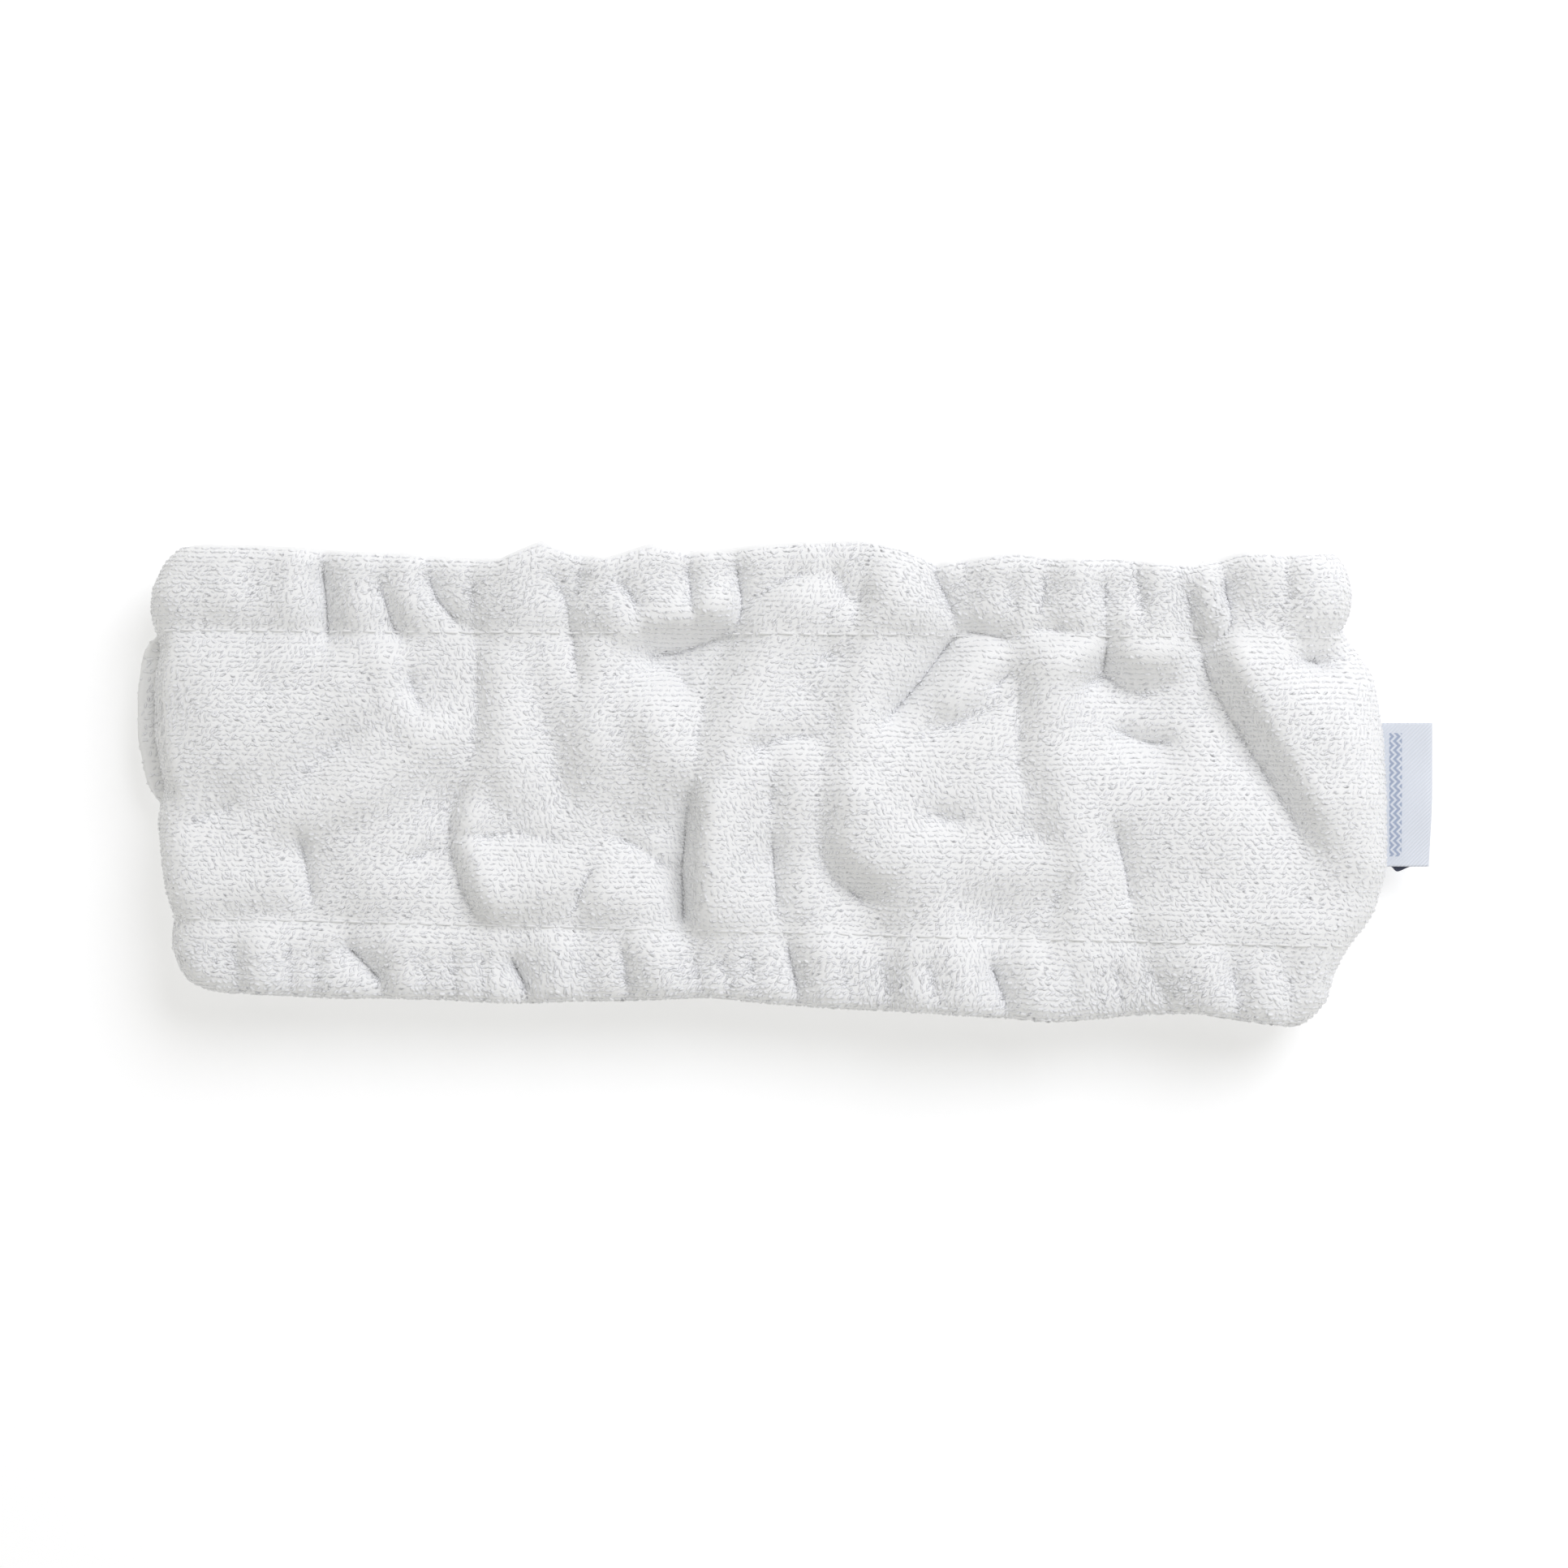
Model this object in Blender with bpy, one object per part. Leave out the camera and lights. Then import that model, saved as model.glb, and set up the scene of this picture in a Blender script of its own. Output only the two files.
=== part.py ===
"""Towelling sports headband, lying flat: one strip of terry cloth closed into a loop by a side seam.

Both long edges are turned in and stitched down as casings, each round a ring of flat elastic. A folded
ribbon label is caught in the side seam. Metres, +Z up. +X runs from the left fold to the label, +Y from
the lower casing to the upper one, and the loop's own axis is along Y. The origin is under the middle.

Every piece that runs round the loop is swept in loop space: a point is (turn, height, depth), where turn
goes from the seam over the front, round the left fold and back under to the seam, height is the place
along Y at x = 0, and depth is measured inwards from the cloth's outer face.
"""

import math

import bmesh
import bpy
from mathutils import Matrix, Vector

# Overall sizes
OVERALL_LENGTH = 0.2292  # left fold to label tip
OVERALL_HEIGHT = 0.0880  # upper fold to the lowest point of the lower fold
LOWER_TILT = 0.0300  # fall of the lower casing per metre of X

# Cloth and casings
CLOTH = 0.0026  # towelling with its pile pressed down
CHANNEL = 0.0019  # clear depth inside a casing
HEAD_GAP = 0.0068  # between the front and back casings, where the head goes in
RAW_EDGE_PAST_STITCH = 0.0035  # turned-in cloth that reaches past its stitching
UPPER_INSETS = (0.0023, 0.0061)  # the elastic draws the casing in by this much, left and right
LOWER_INSETS = (0.0062, 0.0093)
SHOULDER = 0.0140  # height over which the body swells from casing width to full width

# Elastic
UPPER_ELASTIC_WIDTH = 0.0127
LOWER_ELASTIC_WIDTH = 0.0100
ELASTIC_THICKNESS = 0.0012
ELASTIC_EASE = 0.00085  # spare height in the casing

# Thread
STITCH_WIDTH = 0.0008
STITCH_SUNK = 0.0004  # the stitching lies this far below the pile
THREAD_THICKNESS = 0.0004
OVERLOCK_BITE = 0.0022  # how far the overlock reaches over a raw edge

# Side seam
SEAM_SLIT = 0.0013  # between the two ends of the strip
ALLOWANCE_DEPTH = 0.0090  # seam allowance turned inside
SEAM_STITCH_WIDTH = 0.0020

# Label
LABEL_REACH = 0.0076
LABEL_WIDTH = 0.0254
LABEL_MIDDLE = -0.0019
LABEL_TAIL = 0.0050  # how far its ends reach into the seam
LABEL_BEND_ROOM = 0.0006  # left free behind the loop, so that it can flap
LABEL_ROOT_THICKNESS = 0.0008
LABEL_LOOP_THICKNESS = 0.0018
RIBBON = 0.00025

GAP = 0.0003  # clearance between pieces that touch

# Mesh fineness
QUARTER_STEPS = 6
FOLD_STEPS = 6
SHOULDER_STEPS = 4

# Sizes that follow
casing_depth = 2 * CLOTH + CHANNEL
thickness = 2 * casing_depth + HEAD_GAP
mid_z = thickness / 2
stitch_half = STITCH_WIDTH / 2
left_end = -OVERALL_LENGTH / 2
right_end = OVERALL_LENGTH / 2 - LABEL_REACH
upper_fold = OVERALL_HEIGHT / 2
lower_fold = -OVERALL_HEIGHT / 2 + LOWER_TILT * (right_end - LOWER_INSETS[1] - casing_depth / 2)


def casing_height(elastic_width):
    """From the stitching to the fold, for an elastic of that width."""
    return casing_depth / 2 + elastic_width + ELASTIC_EASE + stitch_half + GAP


upper_stitch = upper_fold - casing_height(UPPER_ELASTIC_WIDTH)
lower_stitch = lower_fold + casing_height(LOWER_ELASTIC_WIDTH)


def smooth(share):
    """0 to 1 with a level start and end."""
    share = min(1.0, max(0.0, share))
    return share * share * (3 - 2 * share)


def ends_at(height):
    """X of the loop's left and right ends at that height."""
    from_upper = smooth((upper_stitch - height) / SHOULDER)
    from_lower = smooth((height - lower_stitch) / SHOULDER)
    left = left_end + UPPER_INSETS[0] * (1 - from_upper) + LOWER_INSETS[0] * (1 - from_lower)
    right = right_end - UPPER_INSETS[1] * (1 - from_upper) - LOWER_INSETS[1] * (1 - from_lower)
    return left, right


def placed(x, height, z):
    """A point with the lower casing's tilt, which fades to nothing at the upper fold."""
    fall = LOWER_TILT * (upper_fold - height) / (upper_fold - lower_fold)
    return (x, height - fall * x, z)


def turns_for(radius):
    """(side, angle) round the loop at that radius, from one face of the seam slit to the other."""
    start = math.asin(SEAM_SLIT / 2 / radius)
    turns = []
    for step in range(QUARTER_STEPS + 1):
        turns.append(("right", start + (math.pi / 2 - start) * step / QUARTER_STEPS))
    for step in range(2 * QUARTER_STEPS + 1):
        turns.append(("left", math.pi / 2 + math.pi * step / (2 * QUARTER_STEPS)))
    for step in range(QUARTER_STEPS + 1):
        turns.append(("right", 1.5 * math.pi + (math.pi / 2 - start) * step / QUARTER_STEPS))
    return turns


def loop_line(height, depth):
    """The points of the line round the loop at that height and depth."""
    left, right = ends_at(height)
    radius = mid_z - depth
    centres = {"left": left + mid_z, "right": right - mid_z}
    line = []
    for side, angle in turns_for(radius):
        x = centres[side] + radius * math.cos(angle)
        line.append(placed(x, height, mid_z + radius * math.sin(angle)))
    return line


def solid(name, rings, material):
    """One closed solid through rings. A ring runs along one side of a strip and back along the other."""
    mesh = bpy.data.meshes.new(name)
    shape = bmesh.new()
    loops = [[shape.verts.new(point) for point in ring] for ring in rings]
    count = len(loops[0])
    for first, second in zip(loops, loops[1:]):
        for i in range(count):
            j = (i + 1) % count
            shape.faces.new((first[i], first[j], second[j], second[i]))
    for loop in (loops[0], loops[-1]):
        for i in range(count // 2 - 1):
            shape.faces.new((loop[i], loop[i + 1], loop[-2 - i], loop[-1 - i]))
    bmesh.ops.recalc_face_normals(shape, faces=shape.faces)
    shape.to_mesh(mesh)
    shape.free()
    mesh.shade_smooth()
    mesh.set_sharp_from_angle(angle=math.radians(40))
    mesh.materials.append(material)
    made = bpy.data.objects.new(name, mesh)
    bpy.context.scene.collection.objects.link(made)
    return made


def swept_round_loop(name, profile, material):
    """Sweeps a closed profile of (height, depth) points round the loop."""
    lines = [loop_line(height, depth) for height, depth in profile]
    return solid(name, list(zip(*lines)), material)


def box_profile(low, high, shallow, deep):
    return [(low, shallow), (high, shallow), (high, deep), (low, deep)]


def sleeve_profile():
    """The body's single layer of cloth, with more points where its ends swell."""
    top = upper_stitch - stitch_half - GAP
    bottom = lower_stitch + stitch_half + GAP
    heights = [bottom + SHOULDER * i / SHOULDER_STEPS for i in range(SHOULDER_STEPS + 1)]
    heights += [top - SHOULDER * i / SHOULDER_STEPS for i in range(SHOULDER_STEPS, -1, -1)]
    return [(height, 0.0) for height in heights] + [(height, CLOTH) for height in reversed(heights)]


def casing_profile(stitch, fold):
    """A hairpin of cloth round the elastic: outer layer, fold, inner layer, open at the stitching."""
    way = 1 if fold > stitch else -1
    centre = fold - way * casing_depth / 2
    outer_edge = stitch + way * (stitch_half + GAP)
    raw_edge = stitch - way * RAW_EDGE_PAST_STITCH
    middle = casing_depth / 2
    profile = [(outer_edge, 0.0)]
    for step in range(FOLD_STEPS + 1):
        angle = math.pi * step / FOLD_STEPS
        profile.append((centre + way * middle * math.sin(angle), middle - middle * math.cos(angle)))
    turned_in = [(stitch, casing_depth), (raw_edge, casing_depth)]
    profile += turned_in + [(height, depth - CLOTH) for height, depth in reversed(turned_in)]
    for step in range(FOLD_STEPS, -1, -1):
        angle = math.pi * step / FOLD_STEPS
        inner = CHANNEL / 2
        profile.append((centre + way * inner * math.sin(angle), middle - inner * math.cos(angle)))
    profile.append((outer_edge, CLOTH))
    return profile


def elastic_profile(stitch, fold, width):
    way = 1 if fold > stitch else -1
    near = stitch + way * (stitch_half + GAP + ELASTIC_EASE / 2)
    shallow = CLOTH + (CHANNEL - ELASTIC_THICKNESS) / 2
    return box_profile(near, near + way * width, shallow, shallow + ELASTIC_THICKNESS)


def stitching_profile(stitch):
    """Thread through both layers, from just under the pile to the turned-in layer."""
    deep = CLOTH + CHANNEL - GAP
    return box_profile(stitch - stitch_half, stitch + stitch_half, STITCH_SUNK, deep)


def overlock_profile(stitch, fold):
    """Thread wrapped over the raw edge of the turned-in layer."""
    way = 1 if fold > stitch else -1
    raw_edge = stitch - way * RAW_EDGE_PAST_STITCH
    near = raw_edge + way * OVERLOCK_BITE
    inner = raw_edge - way * GAP
    outer = inner - way * THREAD_THICKNESS
    face, back = casing_depth - CLOTH - GAP, casing_depth + GAP
    return [
        (near, face - THREAD_THICKNESS),
        (outer, face - THREAD_THICKNESS),
        (outer, back + THREAD_THICKNESS),
        (near, back + THREAD_THICKNESS),
        (near, back),
        (inner, back),
        (inner, face),
        (near, face),
    ]


def seam_heights():
    """Heights along the side seam, between the two hem overlocks."""
    room = RAW_EDGE_PAST_STITCH + THREAD_THICKNESS + 3 * GAP
    low, high = lower_stitch + room, upper_stitch - room
    steps = 2 * SHOULDER_STEPS
    return [low + (high - low) * step / steps for step in range(steps + 1)]


def run_along_seam(name, outline, heights, material):
    """Sweeps an outline of (inwards, up) points along the seam; inwards counts from the body's right end."""
    rings = []
    for height in heights:
        right = ends_at(height)[1]
        rings.append([placed(right - inwards, height, mid_z + up) for inwards, up in outline])
    return solid(name, rings, material)


def seam_allowance(name, way, material):
    """One turned-in end of the strip, beside the mid plane, fitted to the round inside of the sleeve."""
    low, high = SEAM_SLIT / 2, SEAM_SLIT / 2 + CLOTH
    bend = mid_z - CLOTH - GAP
    steps = FOLD_STEPS // 2
    outline = [(mid_z + ALLOWANCE_DEPTH - bend, low), (mid_z + ALLOWANCE_DEPTH - bend, high)]
    for step in range(steps + 1):
        up = high + (low - high) * step / steps
        outline.append((mid_z - math.sqrt(bend * bend - up * up), up))
    outline = [(inwards, way * up) for inwards, up in outline]
    return run_along_seam(name, outline, seam_heights(), material)


def seam_overlock_outline():
    """Thread wrapped over both raw edges of the seam allowance."""
    edge = ALLOWANCE_DEPTH + CLOTH + GAP
    face = SEAM_SLIT / 2 + CLOTH + GAP
    inner, outer = edge + GAP, edge + GAP + THREAD_THICKNESS
    near = edge - OVERLOCK_BITE
    half = [
        (near, face + THREAD_THICKNESS),
        (outer, face + THREAD_THICKNESS),
    ]
    inside = [(inner, face), (near, face)]
    mirrored = [(inwards, -up) for inwards, up in reversed(half)]
    mirrored_inside = [(inwards, -up) for inwards, up in reversed(inside)]
    return half + mirrored + mirrored_inside + inside


def label_heights():
    low, high = LABEL_MIDDLE - LABEL_WIDTH / 2, LABEL_MIDDLE + LABEL_WIDTH / 2
    return [low, high]


def label_outline():
    """A teardrop loop of ribbon, seen along Y: its ends together at the seam and its fold at the tip."""
    root, half_loop = LABEL_ROOT_THICKNESS / 2, LABEL_LOOP_THICKNESS / 2
    start, tip = GAP, LABEL_REACH
    belly = tip - half_loop
    outline = [(start, root)]
    for step in range(FOLD_STEPS + 1):
        angle = math.pi / 2 - math.pi * step / FOLD_STEPS
        outline.append((belly + half_loop * math.cos(angle), half_loop * math.sin(angle)))
    outline.append((start, -root))
    inner = half_loop - RIBBON
    outline.append((start, -root + RIBBON))
    for step in range(FOLD_STEPS, -1, -1):
        angle = math.pi / 2 - math.pi * step / FOLD_STEPS
        outline.append((belly + inner * math.cos(angle), inner * math.sin(angle)))
    outline.append((start, root - RIBBON))
    return outline


def label_piece(name, outline, material):
    """A piece of the label, straight along Y, from (outwards, up) points past the body's right end."""
    rings = []
    for height in label_heights():
        ring = []
        for outwards, up in outline:
            ring.append((right_end + outwards, height, mid_z + up))
        rings.append(ring)
    return solid(name, rings, material)


def label_tail_outline():
    """The ribbon's sewn-in ends, as one flat strip in the seam slit."""
    half = SEAM_SLIT / 2 - GAP
    near, far = -LABEL_BEND_ROOM, -LABEL_TAIL
    return [(near, half), (near, -half), (far, -half), (far, half)]


def material(name, colour, roughness):
    made = bpy.data.materials.new(name)
    made.use_nodes = True
    shader = made.node_tree.nodes["Principled BSDF"]
    shader.inputs["Base Color"].default_value = (*colour, 1.0)
    shader.inputs["Roughness"].default_value = roughness
    shader.inputs["Metallic"].default_value = 0.0
    return made


def carrier(name, at, pieces):
    """An empty on a moving body's axis, which carries that body's pieces."""
    made = bpy.data.objects.new(name, None)
    made.location = at
    bpy.context.scene.collection.objects.link(made)
    for piece in pieces:
        piece.data.transform(Matrix.Translation(-Vector(at)))
        piece.parent = made
    return made


def clear_scene():
    for old in list(bpy.data.objects):
        bpy.data.objects.remove(old)


def build():
    clear_scene()
    towelling = material("towelling", (0.90, 0.90, 0.89), 0.95)
    elastic = material("elastic", (0.86, 0.86, 0.84), 0.70)
    thread = material("thread", (0.92, 0.92, 0.91), 0.60)
    satin = material("label_satin", (0.78, 0.83, 0.93), 0.35)

    swept_round_loop("towelling_sleeve", sleeve_profile(), towelling)
    hems = [
        ("upper", upper_stitch, upper_fold, UPPER_ELASTIC_WIDTH),
        ("lower", lower_stitch, lower_fold, LOWER_ELASTIC_WIDTH),
    ]
    for side, stitch, fold, width in hems:
        swept_round_loop(f"{side}_casing", casing_profile(stitch, fold), towelling)
        swept_round_loop(f"{side}_elastic", elastic_profile(stitch, fold, width), elastic)
        swept_round_loop(f"{side}_hem_stitching", stitching_profile(stitch), thread)
        swept_round_loop(f"{side}_hem_overlock", overlock_profile(stitch, fold), thread)

    half = SEAM_SLIT / 2 - GAP
    near = LABEL_TAIL + GAP
    far = near + SEAM_STITCH_WIDTH
    stitch_outline = [(near, half), (near, -half), (far, -half), (far, half)]
    seam_pieces = [
        seam_allowance("front_seam_allowance", 1, towelling),
        seam_allowance("back_seam_allowance", -1, towelling),
        run_along_seam("side_seam_overlock", seam_overlock_outline(), seam_heights(), thread),
        run_along_seam("side_seam_stitching", stitch_outline, seam_heights(), thread),
        label_piece("label_tail", label_tail_outline(), satin),
    ]
    label = label_piece("label", label_outline(), satin)
    carrier("seam_end_slide", (right_end, 0.0, mid_z), seam_pieces)
    carrier("label_hinge", (right_end + GAP, LABEL_MIDDLE, mid_z), [label])


build()
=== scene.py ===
import math

import bpy
import numpy as np
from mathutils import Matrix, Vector


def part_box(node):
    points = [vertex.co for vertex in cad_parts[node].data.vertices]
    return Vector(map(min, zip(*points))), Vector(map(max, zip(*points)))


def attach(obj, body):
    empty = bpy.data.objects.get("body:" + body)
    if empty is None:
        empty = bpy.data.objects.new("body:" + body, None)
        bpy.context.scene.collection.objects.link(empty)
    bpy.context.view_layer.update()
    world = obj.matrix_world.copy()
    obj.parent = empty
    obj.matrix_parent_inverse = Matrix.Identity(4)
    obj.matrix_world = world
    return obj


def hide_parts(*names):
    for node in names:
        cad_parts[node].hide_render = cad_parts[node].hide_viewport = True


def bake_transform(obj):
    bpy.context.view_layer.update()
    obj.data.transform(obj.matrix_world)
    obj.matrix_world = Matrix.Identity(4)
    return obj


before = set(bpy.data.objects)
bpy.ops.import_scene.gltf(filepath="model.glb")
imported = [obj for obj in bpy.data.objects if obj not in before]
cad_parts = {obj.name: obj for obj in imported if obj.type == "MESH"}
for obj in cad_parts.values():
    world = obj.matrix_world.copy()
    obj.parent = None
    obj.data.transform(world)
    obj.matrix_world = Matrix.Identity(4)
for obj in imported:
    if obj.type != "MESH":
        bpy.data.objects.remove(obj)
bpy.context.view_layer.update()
print("frame loaded:", len(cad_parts), "nodes")

mm = 0.001


# camera, straight above the band, with the upper casing at the top of the frame

view = {
    "lens": 100.0,  # millimetres
    "acrossFrame": 0.276,  # metres seen across the square frame
    "focusHeight": 0.014,  # the height at which that width is seen
}


def makeCamera():
    camera = bpy.data.cameras.new("camera")
    camera.lens = view["lens"]
    camera.sensor_width = 36.0
    camera.clip_end = 10.0
    holder = bpy.data.objects.new("camera", camera)
    away = view["acrossFrame"] / camera.sensor_width * view["lens"]
    holder.location = (0.0, 0.0, view["focusHeight"] + away)
    bpy.context.scene.collection.objects.link(holder)
    bpy.context.scene.camera = holder


makeCamera()


# the band's places, in millimetres, all from the frame

def boxOf(node):
    low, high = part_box(node)
    return np.array(low) / mm, np.array(high) / mm


sleeveLow, sleeveHigh = boxOf("towelling_sleeve")
_, upperHigh = boxOf("upper_casing")
lowerLow, lowerHigh = boxOf("lower_casing")
upperThreadLow, upperThreadHigh = boxOf("upper_hem_stitching")
lowerThreadLow, lowerThreadHigh = boxOf("lower_hem_stitching")
_, upperElasticHigh = boxOf("upper_elastic")
labelLow, labelHigh = boxOf("label")
tailLow, _ = boxOf("label_tail")

thick = sleeveHigh[2] - sleeveLow[2]
midZ = (sleeveHigh[2] + sleeveLow[2]) / 2
threadWidth = 0.8
lowerCasingHeight = 18.0
threadFall = lowerThreadHigh[1] - lowerThreadLow[1] - threadWidth  # the lower edge is tilted
lowerTilt = threadFall / (lowerThreadHigh[0] - lowerThreadLow[0])
upperStitch = (upperThreadLow[1] + upperThreadHigh[1]) / 2
lowerStitch = (lowerThreadLow[1] + lowerThreadHigh[1]) / 2
upperFold = upperHigh[1]
tiltPerHeight = lowerTilt / (upperFold - lowerStitch)
lowerFold = lowerLow[1] + tiltPerHeight * (upperFold - lowerStitch + lowerCasingHeight) * lowerHigh[0]


def smooth(share):
    share = np.clip(share, 0.0, 1.0)
    return share * share * (3 - 2 * share)


def tilted(x, height):  # where a height lies along Y: the lower edge falls to the right
    return height - tiltPerHeight * (upperFold - height) * x


def heightAt(x, y):
    return (y + tiltPerHeight * upperFold * x) / (1 + tiltPerHeight * x)


# the gathers of the front ply, in millimetres in plan
# creases are pinned down by their depth; ridges and hollows raise or lower the cloth between them

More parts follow.
